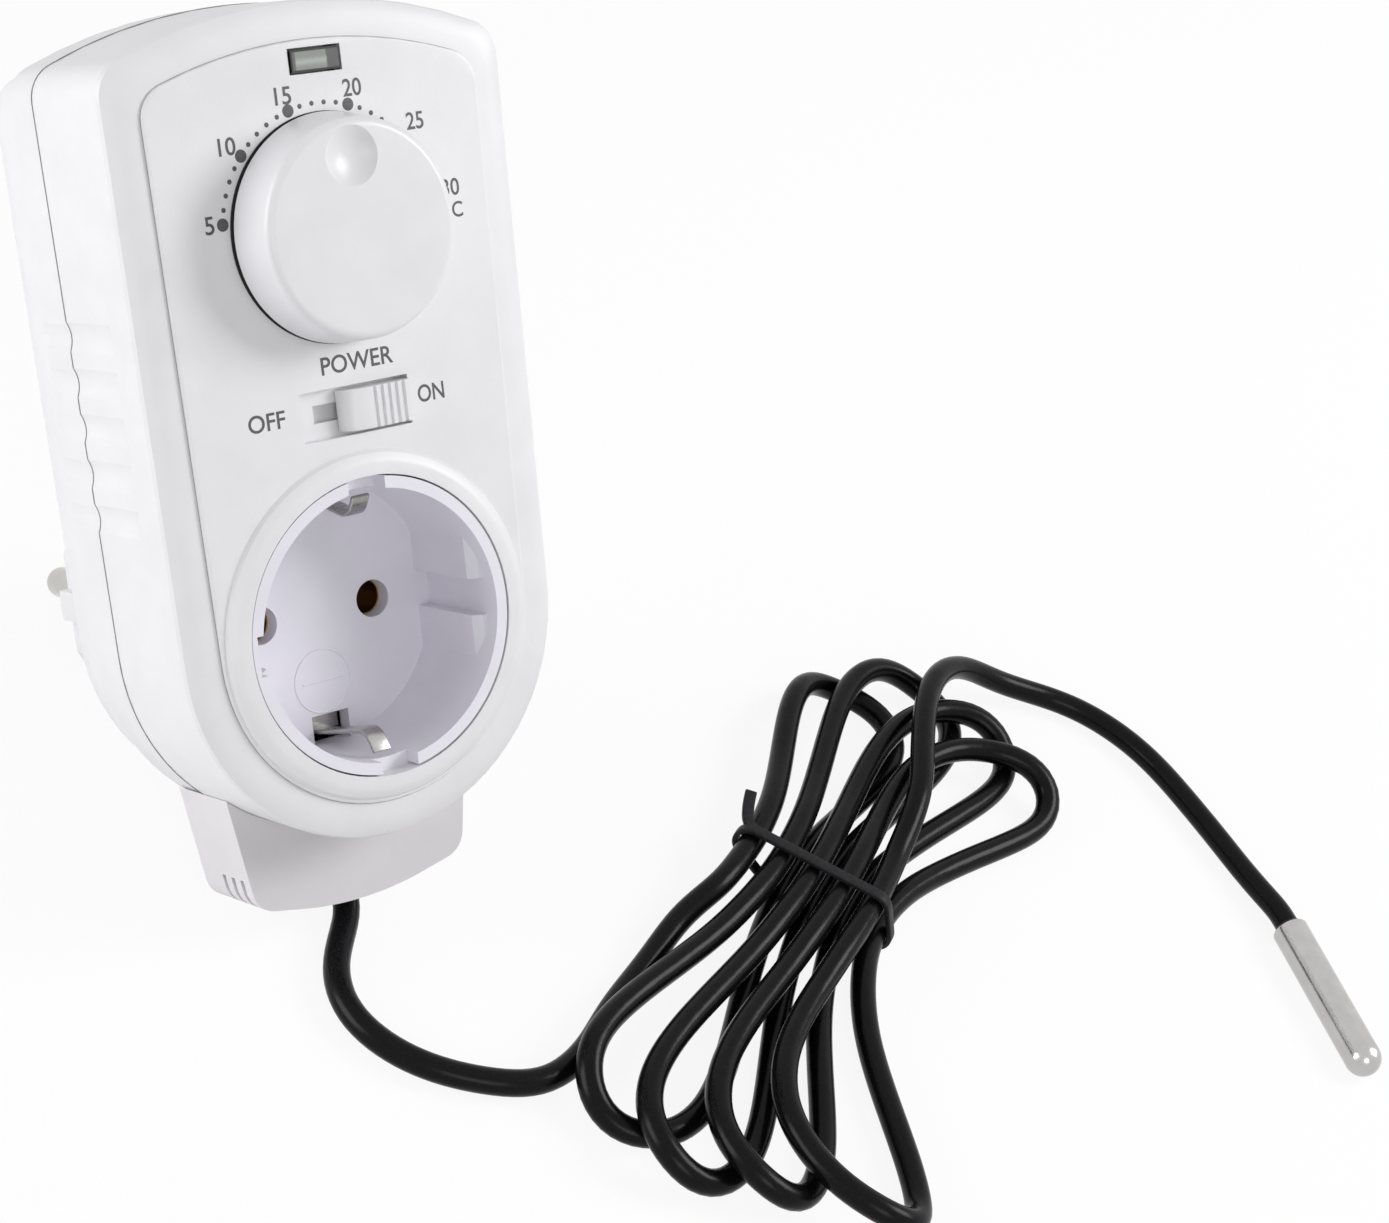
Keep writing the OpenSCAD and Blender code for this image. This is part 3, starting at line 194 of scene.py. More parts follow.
class Shader:
    """The node tree of a material or of the world, with a way to add any node."""

    SEEN_BY = ("Is Camera Ray", "Is Glossy Ray", "Is Transmission Ray")
    PLASTIC_IOR = 1.5
    NOISE_ROUGHNESS = 0.55

    def __init__(self, owner: Material | World) -> None:
        """Empties the owner's tree."""
        owner.use_nodes = True
        self.owner = owner
        self.tree = owner.node_tree
        self.tree.nodes.clear()

    @classmethod
    def named(cls, name: str) -> "Shader":
        """The empty tree of a new material."""
        return cls(bpy.data.materials.new(name))

    def node(self, kind: str, values: dict | None = None, **settings: object) -> Node:
        """Adds a node.

        Args:
            kind: the node's type, without the ShaderNode that each begins with.
            values: a number, colour, socket or signal for each named or numbered socket.
            settings: its settings, set first; stops are a ramp's places and colours.

        Returns:
            The node.
        """
        made = self.tree.nodes.new("ShaderNode" + kind)
        for key, value in settings.items():
            if key == "stops":
                self.set_stops(made.color_ramp, value)
            else:
                setattr(made, key, value)
        for key, value in (values or {}).items():
            source, socket = getattr(value, "socket", value), made.inputs[key]
            if isinstance(source, NodeSocket):
                self.tree.links.new(source, socket)
            else:
                is_colour = socket.type == "RGBA" and len(source) == 3
                socket.default_value = (*source, 1) if is_colour else source
        return made

    @staticmethod
    def set_stops(ramp: ColorRamp, stops: Sequence[tuple[float, Colour]]) -> None:
        """Gives a ramp its places and colours."""
        while len(ramp.elements) < len(stops):
            ramp.elements.new(1)
        for element, (place, colour) in zip(ramp.elements, stops):
            element.position, element.color = place, (*colour, 1)

    def coordinates(self, kind: str = "Object") -> NodeSocket:
        """The piece's own coordinates, in metres, or another output of the same node."""
        return self.node("TexCoord").outputs[kind]

    def mapped(self, along: NodeSocket, **changes: Point) -> NodeSocket:
        """Coordinates turned, moved or scaled by a Mapping node."""
        made = self.node("Mapping", {"Vector": along, **changes}, vector_type="POINT")
        return made.outputs["Vector"]

    def noise(self, size: float, detail: float = 3, along: NodeSocket | None = None) -> Signal:
        """Cloudy noise whose lumps are about size millimetres wide."""
        made = self.node("TexNoise", {
            "Vector": along or self.coordinates(), "Scale": 1 / (size * MM), "Detail": detail,
            "Roughness": self.NOISE_ROUGHNESS})
        return Signal(self, made.outputs["Fac"])

    def blend(self, factor: Signal, low: Colour | NodeSocket,
              high: Colour | NodeSocket) -> NodeSocket:
        """A colour between low and high."""
        made = self.node("Mix", {"Factor": factor, 6: low, 7: high}, data_type="RGBA")
        return made.outputs[2]

    def tint(self, factor: Signal, colour: Colour, low: float, high: float) -> NodeSocket:
        """A colour between two shares of itself, neither brighter than white."""
        shares = (tuple(min(1.0, v * share) for v in colour) for share in (low, high))
        return self.blend(factor, *shares)

    def bump(self, height: Signal, depth: float) -> NodeSocket:
        """Normals of a relief that is depth millimetres high."""
        return self.node("Bump", {
            "Height": height, "Distance": depth * MM, "Strength": 1}).outputs["Normal"]

    def seen(self) -> Signal:
        """1 for the rays that camera, gloss and glass send out, and 0 for the light's."""
        path = self.node("LightPath")
        return reduce(Signal.greatest, (Signal(self, path.outputs[k]) for k in self.SEEN_BY))

    def mix(self, factor: Signal, low: Node, high: Node) -> Node:
        """A Mix Shader node between two shader nodes."""
        return self.node("MixShader", {"Fac": factor, 1: low.outputs[0], 2: high.outputs[0]})

    def close(self, surface: Node) -> Material | World:
        """Links the last node to a new output node, and gives the tree's owner back."""
        kind = "World" if isinstance(self.owner, World) else "Material"
        self.node("Output" + kind, {"Surface": surface.outputs[0]})
        return self.owner

    def finish(self, **values: object) -> Material:
        """Ends the tree in one Principled BSDF, whose sockets are named with _ for spaces."""
        return self.close(self.node("BsdfPrincipled", {
            key.replace("_", " "): value for key, value in values.items()}))


@dataclass(frozen=True)
class MouldedPlastic:
    """Injection-moulded plastic: a spark-eroded grain, faint flow clouds and an even sheen."""

    name: str
    colour: Colour
    roughness: float = 0.4
    grain: float = 0.42
    grain_depth: float = 0.012
    grain_sheen: float = 0.16
    grain_share: float = 0.05
    cloud: float = 9.0
    cloud_span: Pair = (0.3, 0.7)
    cloud_sheen: float = 0.1
    cloud_tint: float = 0.025

    def material(self) -> Material:
        """Grain is fine noise in the normal and roughness; clouds shift the colour a little."""
        shader = Shader.named(self.name)
        grain, cloud = shader.noise(self.grain, 2), shader.noise(self.cloud, 3)
        speck = (grain.sway(self.grain_share)
                 + cloud.rise(*self.cloud_span) * (1 - self.grain_share))
        return shader.finish(
            Base_Color=shader.tint(speck, self.colour, 1 - self.cloud_tint, 1 + self.cloud_tint),
            IOR=shader.PLASTIC_IOR,
            Roughness=(self.roughness + grain.sway(self.grain_sheen)
                       + cloud.sway(self.cloud_sheen)),
            Normal=shader.bump(grain, self.grain_depth))


@dataclass(frozen=True)
class CordJacket:
    """Black PVC jacket: glossy, with the faint waviness and dust of extruded cord."""

    name: str
    colour: Colour = (0.0036, 0.0034, 0.004)
    roughness: float = 0.24
    wave: float = 5.5
    dust: float = 0.5
    dust_span: Pair = (0.45, 0.8)
    dust_tint: float = 1.9
    dust_relief: float = 0.015
    sheen: float = 0.1
    relief: float = 0.12
    gloss: float = 0.11

    def material(self) -> Material:
        """Slow noise bends the sheen, fine noise dulls it in specks."""
        shader = Shader.named(self.name)
        wave, dust = shader.noise(self.wave, 2), shader.noise(self.dust, 3)
        return shader.finish(
            Base_Color=shader.tint(dust.rise(*self.dust_span), self.colour, 1, self.dust_tint),
            Roughness=self.roughness + dust.sway(self.sheen) + wave.sway(self.sheen),
            Normal=shader.bump(wave + dust * self.dust_relief, self.relief),
            IOR=shader.PLASTIC_IOR, Specular_IOR_Level=self.gloss)


@dataclass(frozen=True)
class Metal:
    """Bare or plated metal with drawn or rolled streaks in one direction."""

    name: str
    colour: Colour
    roughness: float = 0.24
    turn: Point = (0, 0, 0)
    streaks: Point = (1, 1, 0.05)
    streak_size: float = 0.25
    streak_sheen: float = 0.2
    stain: float = 3.0
    stain_span: Pair = (0.3, 0.75)
    stain_sheen: float = 0.1
    stain_tint: float = 0.9
    relief: float = 0.004

    def material(self) -> Material:
        """Noise squeezed across and stretched along the streaks moves roughness and normal."""
        shader = Shader.named(self.name)
        drawn = shader.mapped(shader.mapped(shader.coordinates(), Rotation=self.turn),
                              Scale=self.streaks)
        streak, stain = shader.noise(self.streak_size, 4, drawn), shader.noise(self.stain, 3)
        return shader.finish(
            Base_Color=shader.tint(stain.rise(*self.stain_span), self.colour, self.stain_tint, 1),
            Roughness=(self.roughness + streak.sway(self.streak_sheen)
                       + stain.sway(self.stain_sheen)),
            Metallic=1.0, Normal=shader.bump(streak, self.relief))


@dataclass(frozen=True)
class PrintInk:
    """Pad-printed ink, slightly uneven."""

    name: str
    colour: Colour = (0.055, 0.055, 0.06)
    roughness: float = 0.45
    speck: float = 0.16
    speck_span: Pair = (0.35, 0.75)
    speck_tint: float = 2.1
    speck_sheen: float = 0.2

    def material(self) -> Material:
        """Fine noise thins the ink in specks."""
        shader = Shader.named(self.name)
        speck = shader.noise(self.speck, 2)
        return shader.finish(
            Base_Color=shader.tint(speck.rise(*self.speck_span), self.colour, 1, self.speck_tint),
            Roughness=self.roughness + speck.sway(self.speck_sheen))


@dataclass(frozen=True)
class WindowLens:
    """Smoked lens: a dark frame, a pale grey-green face and a darker part over the lamp's side."""

    name: str
    middle: Point
    half_l: float
    half_w: float
    pale: Colour = (0.42, 0.45, 0.42)
    deep: Colour = (0.27, 0.29, 0.27)
    lamp_side: Colour = (0.105, 0.105, 0.105)
    far_side: Colour = (0.12, 0.12, 0.12)
    rim: Colour = (0.014, 0.014, 0.014)
    bar_span: Pair = (0.1, 1.5)
    lamp_span: Pair = (1.75, 2.0)
    far_span: Pair = (3.1, 3.25)
    rim_span: Pair = (0.22, 0.36)

    def material(self) -> Material:
        """Distance to the lens's edge gives the frame, and the place along it the dark part."""
        shader = Shader.named(self.name)
        axes = shader.node("SeparateXYZ", {"Vector": LEAN.back(shader, self.middle)})
        x, z = (Signal(shader, axes.outputs[k]) / MM for k in ("X", "Z"))
        inside = (self.half_l - abs(x)).least(self.half_w - abs(z))
        noise = shader.noise(0.7, 2)
        bars = abs(z * 2.2 + noise * 0.8).rise(*self.bar_span)
        face = shader.blend(bars, self.pale, self.deep)
        face = shader.blend((x + noise * 0.3).rise(*self.lamp_span), face, self.lamp_side)
        face = shader.blend((x * -1.0).rise(*self.far_span), face, self.far_side)
        return shader.finish(Base_Color=shader.blend(inside.rise(*self.rim_span), self.rim, face),
                             Roughness=0.12 + noise * 0.12, Coat_Weight=0.6, IOR=shader.PLASTIC_IOR)


@dataclass(frozen=True)
class BoardLaminate:
    """Green solder mask over copper tracks, on which a brick pattern stands for the routing."""

    name: str
    colour: Colour = (0.012, 0.105, 0.04)
    track_colour: Colour = (0.03, 0.22, 0.07)

    def material(self) -> Material:
        """Brick joints are the tracks: paler, and raised a little."""
        shader = Shader.named(self.name)
        bricks = shader.node("TexBrick", {
            "Vector": LEAN.back(shader), "Scale": 190.0, "Mortar Size": 0.06,
            "Mortar Smooth": 0.3}, offset=0.37, squash=1.6)
        track = Signal(shader, bricks.outputs["Fac"])
        return shader.finish(Base_Color=shader.blend(track, self.colour, self.track_colour),
                             Roughness=0.3 + shader.noise(0.8, 3) * 0.15,
                             Normal=shader.bump(track, 0.03))


@dataclass(frozen=True)
class ClearBulb:
    """The lamp's epoxy bulb: reddish, with a cloudy tint."""

    name: str
    colour: Colour = (0.55, 0.03, 0.02)
    cloud: float = 1.2
    cloud_tint: float = 1.6

    def material(self) -> Material:
        """Cloudy noise varies the tint of the epoxy."""
        shader = Shader.named(self.name)
        cloud = shader.noise(self.cloud, 2)
        return shader.finish(Base_Color=shader.tint(cloud, self.colour, 1, self.cloud_tint),
                             Roughness=0.1 + cloud * 0.1, Coat_Weight=0.5)


@dataclass(frozen=True)
class FloorPaper:
    """White studio paper: seen nearly white, with a faint shadow left on it."""

    name: str
    glow: float = 0.9
    deep: Colour = (0.86, 0.86, 0.865)
    pale: Colour = (0.9, 0.9, 0.9)

    def material(self) -> Material:
        """Seen rays get mostly an even white; the rest is lit paper that takes shadows."""
        shader = Shader.named(self.name)
        paper = shader.node("BsdfPrincipled", {
            "Base Color": shader.blend(shader.noise(4, 2), self.deep, self.pale), "Roughness": 0.9})
        white = shader.node("Emission", {"Color": (1.0, 1.0, 1.0), "Strength": 1.0})
        return shader.close(shader.mix(shader.seen() * self.glow, paper, white))


def plastic(name: str, colour: Colour, **settings: float) -> Material:
    """The material of a moulded plastic."""
    return MouldedPlastic(name, colour, **settings).material()


PROBE_WAY: Point = (-0.3, -0.95, 0)
FINE = {"roughness": 0.33, "grain_depth": 0.004}
DULL = {"roughness": 0.8, "grain_depth": 0.002}
CASE = plastic("case_plastic", (0.79, 0.785, 0.805))
# Partly the housing's own tint, partly painted shade: darker than the case so that its
# downward-facing front looks shaded.
HOUSING = plastic("housing_plastic_and_painted_shade", (0.69, 0.668, 0.695), grain_depth=0.009)
INSERT = plastic("insert_plastic", (0.805, 0.79, 0.85), roughness=0.34, grain_depth=0.004)
KNOB = plastic("knob_plastic", (0.775, 0.772, 0.795), **FINE)
SLIDER = plastic("slider_plastic", (0.8, 0.795, 0.815), **FINE)
# Painted shadow: a dark bead laid in the shells' joint stands for the shade in that gap.
SHADE = plastic("joint_shade", (0.24, 0.235, 0.24), **DULL)
# Painted shade: a grey bead laid where the plate meets its shoulder stands for the shade in that
# crease.
FAINT_SHADE = plastic("edge_shade", (0.4, 0.395, 0.405), **DULL)
# Painted shade: a near-black ring under the knob's rim stands for the shadow in the gap between
# knob and plate.
KNOB_GAP_SHADE = plastic("knob_gap_painted_shade", (0.012, 0.012, 0.012), roughness=0.95, grain=0.12, grain_depth=0.03)
DARK_BODY = plastic("dark_component", (0.035, 0.035, 0.037), roughness=0.38)
BLUE_BODY = plastic("blue_component", (0.05, 0.13, 0.36), roughness=0.32)
YELLOW_BODY = plastic("yellow_component", (0.72, 0.5, 0.1), roughness=0.32)
GREEN_BODY = plastic("green_component", (0.05, 0.27, 0.11), roughness=0.36)
IVORY_BODY = plastic("ivory_component", (0.72, 0.68, 0.55))
RESIN = plastic("bead_resin", (0.11, 0.045, 0.02), roughness=0.22, cloud=1.5)
JACKET = CordJacket("cord_jacket").material()
STRAP = CordJacket("tie_rubber", (0.016, 0.016, 0.0175), roughness=0.42).material()
SPRING = Metal("spring_steel", (0.47, 0.455, 0.44), 0.29, streaks=(0.08, 1, 1)).material()
PLATED = Metal("nickel_plating", (0.6, 0.585, 0.55), 0.18).material()
# Painted shade: darker than bright brass, so that the sleeves deep in their holes look shaded.
BRASS = Metal("rolled_brass_painted_shade", (0.4, 0.27, 0.125), 0.34).material()
SCREW = Metal("zinc_plating", (0.55, 0.56, 0.58), 0.3, streaks=(1, 1, 1),
              streak_size=0.5).material()
STEEL = Metal("brushed_probe_steel", (0.54, 0.53, 0.525), 0.21,
              turn=(0, 0, -math.atan2(PROBE_WAY[1], PROBE_WAY[0])), streaks=(0.04, 1, 1),
              streak_size=0.16).material()
INK = PrintInk("print_ink").material()
BOARD = BoardLaminate("board_laminate").material()
BULB = ClearBulb("lamp_epoxy").material()


# Shapes


def rows(x: Array | float, y: Array | float, z: Array | float) -> Array:
    """Rows of points from arrays or numbers, which stretch to each other's length."""
    return np.stack(np.broadcast_arrays(x, y, z), axis=-1).astype(float)


def unit(v: Array) -> Array:
    """Directions of length 1."""
    return v / np.linalg.norm(v, axis=-1, keepdims=True)


def placed(name: str, data: ID) -> Object:
    """An object of a mesh, curve, lamp or camera, in the scene."""
    made = bpy.data.objects.new(name, data)
    bpy.context.scene.collection.objects.link(made)
    return made


def smooth(mesh: Mesh, angle: float) -> None:
    """Shades a mesh smooth but for edges over an angle in degrees."""
    mesh.polygons.foreach_set("use_smooth", np.ones(len(mesh.polygons), bool))
    mesh.set_sharp_from_angle(angle=math.radians(angle))


def grid_quads(count: int, columns: int, wrap_rows: bool = False,
               wrap_columns: bool = True) -> Array:
    """Quads over a grid of points that is numbered row by row.

    Args:
        count: number of rows.
        columns: number of points in a row.
        wrap_rows: whether the last row joins the first.
        wrap_columns: whether a row's last point joins its first.

    Returns:
        Four indices for each quad.
    """
    r = np.arange(count if wrap_rows else count - 1)[:, None]
    c = np.arange(columns if wrap_columns else columns - 1)[None, :]
    across, up = (c + 1) % columns, (r + 1) % count
    return np.stack([r * columns + c, r * columns + across, up * columns + across,
                     up * columns + c], axis=-1).reshape(-1, 4)


def end_caps(count: int, columns: int) -> list[Array]:
    """The faces that close a grid's first and last row."""
    return [np.arange(columns)[::-1], np.arange(columns) + columns * (count - 1)]


@dataclass
class Shape:
    """Points in millimetres, with the quads and the end caps over them."""

    points: Array
    quads: Array
    caps: list[Array] = field(default_factory=list)

    def __add__(self, other: "Shape") -> "Shape":
        """Both shapes as one."""
        n = len(self.points)
        return Shape(np.vstack([self.points, other.points]),
                     np.vstack([self.quads, other.quads + n]),
                     self.caps + [cap + n for cap in other.caps])

    def leant(self) -> "Shape":
        """The shape carried from the case's own frame to the table's."""
        return Shape(LEAN.on_table(self.points), self.quads, self.caps)

    def volume(self) -> float:
        """Signed volume: the sum of p·(q×r)/6 over the triangles of every face."""
        fans = [np.array([[cap[0], cap[i], cap[i + 1]] for i in range(1, len(cap) - 1)])
                for cap in self.caps]
        triangles = np.vstack([self.quads[:, [0, 1, 2]], self.quads[:, [0, 2, 3]], *fans])
        p, q, r = (self.points[triangles[:, k]] for k in range(3))
        return float(np.einsum("ij,ij->i", p, np.cross(q, r)).sum() / 6)

    def outward(self) -> "Shape":
        """The shape with its faces turned to point outwards."""
        if self.volume() >= 0:
            return self
        return Shape(self.points, self.quads[:, ::-1], [cap[::-1] for cap in self.caps])

    def build(self, name: str, sharp: float = 35) -> Object:
        """Makes the mesh object.

        Args:
            name: the piece's name.
            sharp: angle in degrees over which an edge stays sharp.

        Returns:
            The object, at the origin.
        """
        mesh = bpy.data.meshes.new(name)
        faces = [*self.quads.tolist(), *(cap.tolist() for cap in self.caps)]
        mesh.from_pydata((self.points * MM).tolist(), [], faces)
        mesh.validate()
        smooth(mesh, sharp)
        return placed(name, mesh)


def ring(radius: float, sides: int) -> Array:
    """A circle's points: radius times the cosine and sine of evenly spaced angles."""
    a = np.linspace(0, 2 * np.pi, sides, endpoint=False)
    return radius * np.stack([np.cos(a), np.sin(a)], axis=-1)


def rounded_bar(width: float, height: float, corner: float, steps: int = 4) -> Array:
    """A rectangle with quarter circles at its corners.

    Args:
        width: its first size.
        height: its second size.
        corner: the quarter circles' radius.
        steps: points to each quarter circle.

    Returns:
        Rows of points round its middle.
    """
    a = np.linspace(0, np.pi / 2, steps)[None, :] + np.pi / 2 * np.arange(4)[:, None]
    signs = np.array([[1, 1], [-1, 1], [-1, -1], [1, -1]])[:, None, :]
    middle = signs * (np.array([width, height]) / 2 - corner)
    return (middle + corner * np.stack([np.cos(a), np.sin(a)], axis=-1)).reshape(-1, 2)


def swept(path: Array, profile: Array, up: Point = (0, 0, 1), closed: bool = False) -> Shape:
    """Carries a flat profile along a path.

    At each point the profile's second axis is up with its part along the path taken away, and
    its first is the path's direction crossed with that.

    Args:
        path: rows of points.
        profile: rows of the closed profile's two coordinates.
        up: the direction that the second axis leans to.
        closed: whether the path closes on itself.

    Returns:
        The swept shape, capped where the path is open.
    """
    ahead = unit(np.roll(path, -1, 0) - np.roll(path, 1, 0) if closed
                 else np.gradient(path, axis=0))
    lift = unit(np.array(up, float) - (ahead @ np.array(up, float))[:, None] * ahead)
    side = np.cross(ahead, lift)
    points = (path[:, None, :] + profile[None, :, :1] * side[:, None, :]
              + profile[None, :, 1:] * lift[:, None, :]).reshape(-1, 3)
    n = len(profile)
    return Shape(points, grid_quads(len(path), n, wrap_rows=closed),
                 [] if closed else end_caps(len(path), n)).outward()


def turned(profile: Sequence[Sequence[float]] | Array, base: Array, axis: Array,
           sides: int = 64, hollow: bool = False) -> Shape:
    """Turns a profile of radius and height round an axis.

    A point is base + height·axis + radius·(cos a·u + sin a·v), with u and v square to the axis.

    Args:
        profile: rows of radius and height; caps close both ends unless hollow.
        base: the foot of the axis.
        axis: its direction, of length 1.
        sides: number of points round.
        hollow: whether the profile is closed on itself and goes round clear of the axis.

    Returns:
        The turned shape.
    """
    profile = np.asarray(profile, float)
    u = unit(np.cross(axis, [0, 0, 1.0]) if abs(axis[2]) < 0.9 else np.array([1.0, 0, 0]))
    circle = ring(1, sides)
    spokes = circle[:, :1] * u + circle[:, 1:] * np.cross(axis, u)
    points = base + profile[:, None, 1:] * axis + profile[:, None, :1] * spokes
    n = len(profile)
    return Shape(points.reshape(-1, 3), grid_quads(n, sides, wrap_rows=hollow),
                 [] if hollow else end_caps(n, sides)).outward()


def smooth_run(places: Array, steps: int) -> Array:
    """A Catmull-Rom curve: each stretch is the usual cubic of its four nearest places.

    Args:
        places: rows of points.
        steps: points to each stretch.

    Returns:
        The curve's points, both ends included.
    """
    p = np.vstack([places[:1], places, places[-1:]])
    a, b, c, d = (p[k:len(p) - 3 + k][:, None, :] for k in range(4))
    t = (np.arange(steps) / steps)[None, :, None]
    curve = b + 0.5 * t * (c - a + t * (2 * a - 5 * b + 4 * c - d + t * (3 * (b - c) + d - a)))
    return np.vstack([curve.reshape(-1, 3), places[-1:]])


def evenly(path: Array, step: float) -> Array:
    """Resamples a path by its length.

    Args:
        path: rows of points.
        step: the new points' distance along it, in millimetres.

    Returns:
        The new points, both ends included.
    """
    run = np.concatenate([[0], np.cumsum(np.linalg.norm(np.diff(path, axis=0), axis=1))])
    places = np.linspace(0, run[-1], max(2, round(run[-1] / step)))
    return np.stack([np.interp(places, run, path[:, k]) for k in range(3)], axis=-1)


# Pieces


SOFT_DEGREES = 24
MERGE_DISTANCE = 1e-6
FLAT_WEIGHT = 80


def keep(piece: Object, material: Material, replaces: Iterable[str] = (),
         body: Body = Body.CASE) -> Object:
    """Gives a piece its material and its body, and hides the CAD nodes that it stands for.

    Args:
        piece: the piece.
        material: its material.
        replaces: names of the CAD nodes that it hides.
        body: the body that it rides on.

    Returns:
        The piece.
    """
    piece.data.materials.clear()
    piece.data.materials.append(material)
    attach(piece, body.value)
    if replaces:
        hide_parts(*replaces)
    LOG.info("%s rides on %s", piece.name, body.value)
    return piece


def dress(material: Material, *nodes: str) -> None:
    """Gives CAD nodes' objects a better material."""
    for node in nodes:
        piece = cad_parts[node]
        if not piece.material_slots:
            piece.data.materials.append(material)
        for slot in piece.material_slots:
            slot.material = material
        LOG.info("%s keeps its own mesh", node)


def softened(node: str, slot: Slot, material: Material, body: Body = Body.CASE) -> Object:
    """Replaces a CAD node by a merged copy of its mesh, shaded smooth between its edges.

    Args:
        node: the node's name.
        slot: the record's slot.
        material: the copy's material.
        body: the body that it rides on.

    Returns:
        The copy.
    """
    moulded = slot in (Slot.CASE, Slot.INSERT, Slot.KNOB)
    mesh = bpy.data.meshes.new(f"{node}_{'moulded' if moulded else 'finished'}")
    work = bmesh.new()
    work.from_mesh(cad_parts[node].data)
    bmesh.ops.remove_doubles(work, verts=work.verts, dist=MERGE_DISTANCE)
    work.to_mesh(mesh)
    work.free()
    old_normals = mesh.attributes.get("custom_normal")
    if old_normals:
        mesh.attributes.remove(old_normals)
    smooth(mesh, SOFT_DEGREES)
    piece = placed(mesh.name, mesh)
    weighted = piece.modifiers.new("flat_faces_first", "WEIGHTED_NORMAL")
    weighted.mode, weighted.weight, weighted.keep_sharp = "FACE_AREA", FLAT_WEIGHT, True
    return keep(piece, material, [node], body)


@dataclass
class CaseShells:
    """Both shells with their joint, the cable housing and the screws that hold them."""

    end_r: float = 30.4
    top_half_w: float = 31.6
    top_z: float = 86.0
    arch_r: float = 78.0
    corner_r: float = 5.0
    parting_y: float = 19.6
    plate_inset: float = 5.2
    grip_count: int = 5
    grip_pitch: float = 6.3
    grip_low_z: float = 19.4
    grip_w: float = 4.0
    grip_depth: float = 0.5
    line_step: float = 0.4
    joint_behind: float = 0.1
    joint_w: float = 0.17
    joint_h: float = 0.2
    edge_y: float = 0.5
    edge_w: float = 0.14
    edge_h: float = 0.12
    edge_out: float = 0.02

    def side_angle(self, inset: float) -> float:
        """Angle at which the round end goes over into a side, for an inset outline."""
        m = self.corner_mid(inset)
        return (math.atan2(m[1], m[0])
                - math.acos((self.end_r - inset - self.corner_r) / np.hypot(*m)))

    def corner_mid(self, inset: float) -> Array:
        """Middle of the right upper corner's arc, which touches the side and the arch."""
        x = self.top_half_w - inset - self.corner_r
        return np.array([x, self.top_z - self.arch_r
                         + math.sqrt((self.arch_r - inset - self.corner_r) ** 2 - x ** 2)])

    def outline(self, inset: float) -> Array:
        """The case's outline at an inset: four arcs that touch each other and straight sides.

        Args:
            inset: distance inwards from the outer edge.

        Returns:
            Evenly spaced rows of x and z round the outline, the last next to the first.
        """
        m, low = self.corner_mid(inset), self.side_angle(inset)
        arch_z = self.top_z - self.arch_r
        high = math.atan2(m[1] - arch_z, m[0])

        def arc(middle: Sequence[float], r: float, start: float, stop: float, steps: int) -> Array:
            """Points of one arc."""
            a = np.linspace(start, stop, steps)
            return rows(middle[0] + r * np.cos(a), 0, middle[1] + r * np.sin(a))

        line = np.vstack([
            arc(m, self.corner_r, low, high, 12),
            arc((0, arch_z), self.arch_r - inset, high, np.pi - high, 60)[1:],
            arc((-m[0], m[1]), self.corner_r, np.pi - high, np.pi - low, 12)[1:],
            arc((0, 0), self.end_r - inset, np.pi - low, 2 * np.pi + low, 120)])
        return evenly(np.vstack([line, line[:1]]), self.line_step)[:-1][:, [0, 2]]

    def gripped(self, line: Array) -> Array:
        """The outline with the finger grooves in its sides.

        Beside a groove, x is no more than the groove's axis less the root of r² - (z - axis z)².

        Args:
            line: rows of x and z round the case.

        Returns:
            The same rows with x drawn in.
        """
        r = (self.grip_w ** 2 / 4 + self.grip_depth ** 2) / (2 * self.grip_depth)
        a = self.side_angle(0)
        x = np.abs(line[:, 0])
        for z in self.grip_low_z + self.grip_pitch * np.arange(self.grip_count):
            axis_x = (self.end_r - z * math.sin(a)) / math.cos(a) - self.grip_depth + r
            dip = axis_x - np.sqrt(np.maximum(r ** 2 - (line[:, 1] - z) ** 2, 0))
            x = np.where(np.abs(line[:, 1] - z) < r, np.minimum(x, dip), x)
        return np.stack([np.sign(line[:, 0]) * x, line[:, 1]], axis=-1)

    def bead(self, name: str, line: Array, y: float, width: float, height: float,
             material: Material) -> None:
        """A thin bead along an outline.

        Args:
            name: the piece's name.
            line: the outline.
            y: its depth behind the plate.
            width: the bead's width across the depth.
            height: its height over the outline.
            material: its material.
        """
        profile = rounded_bar(height, width, min(width, height) * 0.3, 3)
        made = swept(rows(line[:, 0], y, line[:, 1]), profile, up=(0, 1, 0), closed=True)
        keep(made.leant().build(name), material)

    def build(self) -> None:
        """Shades the moulded parts, and lays beads of painted shade in the shells' joint and round
        the plate.
        """
        softened("front_shell", Slot.CASE, CASE)
        softened("rear_shell", Slot.CASE, CASE)
        softened("cable_housing", Slot.CASE, HOUSING)
        softened("case_screws", Slot.SPRING, SCREW)
        # A dark bead of painted shadow in the joint between the shells.
        self.bead("shell_joint_painted_shadow", self.gripped(self.outline(0.0)),
                  self.parting_y + self.joint_behind, self.joint_w, self.joint_h, SHADE)
        # A grey bead of painted shade in the crease round the plate.
        self.bead("plate_crease_painted_shade", self.outline(self.plate_inset - self.edge_out),
                  self.edge_y, self.edge_w, self.edge_h, FAINT_SHADE)


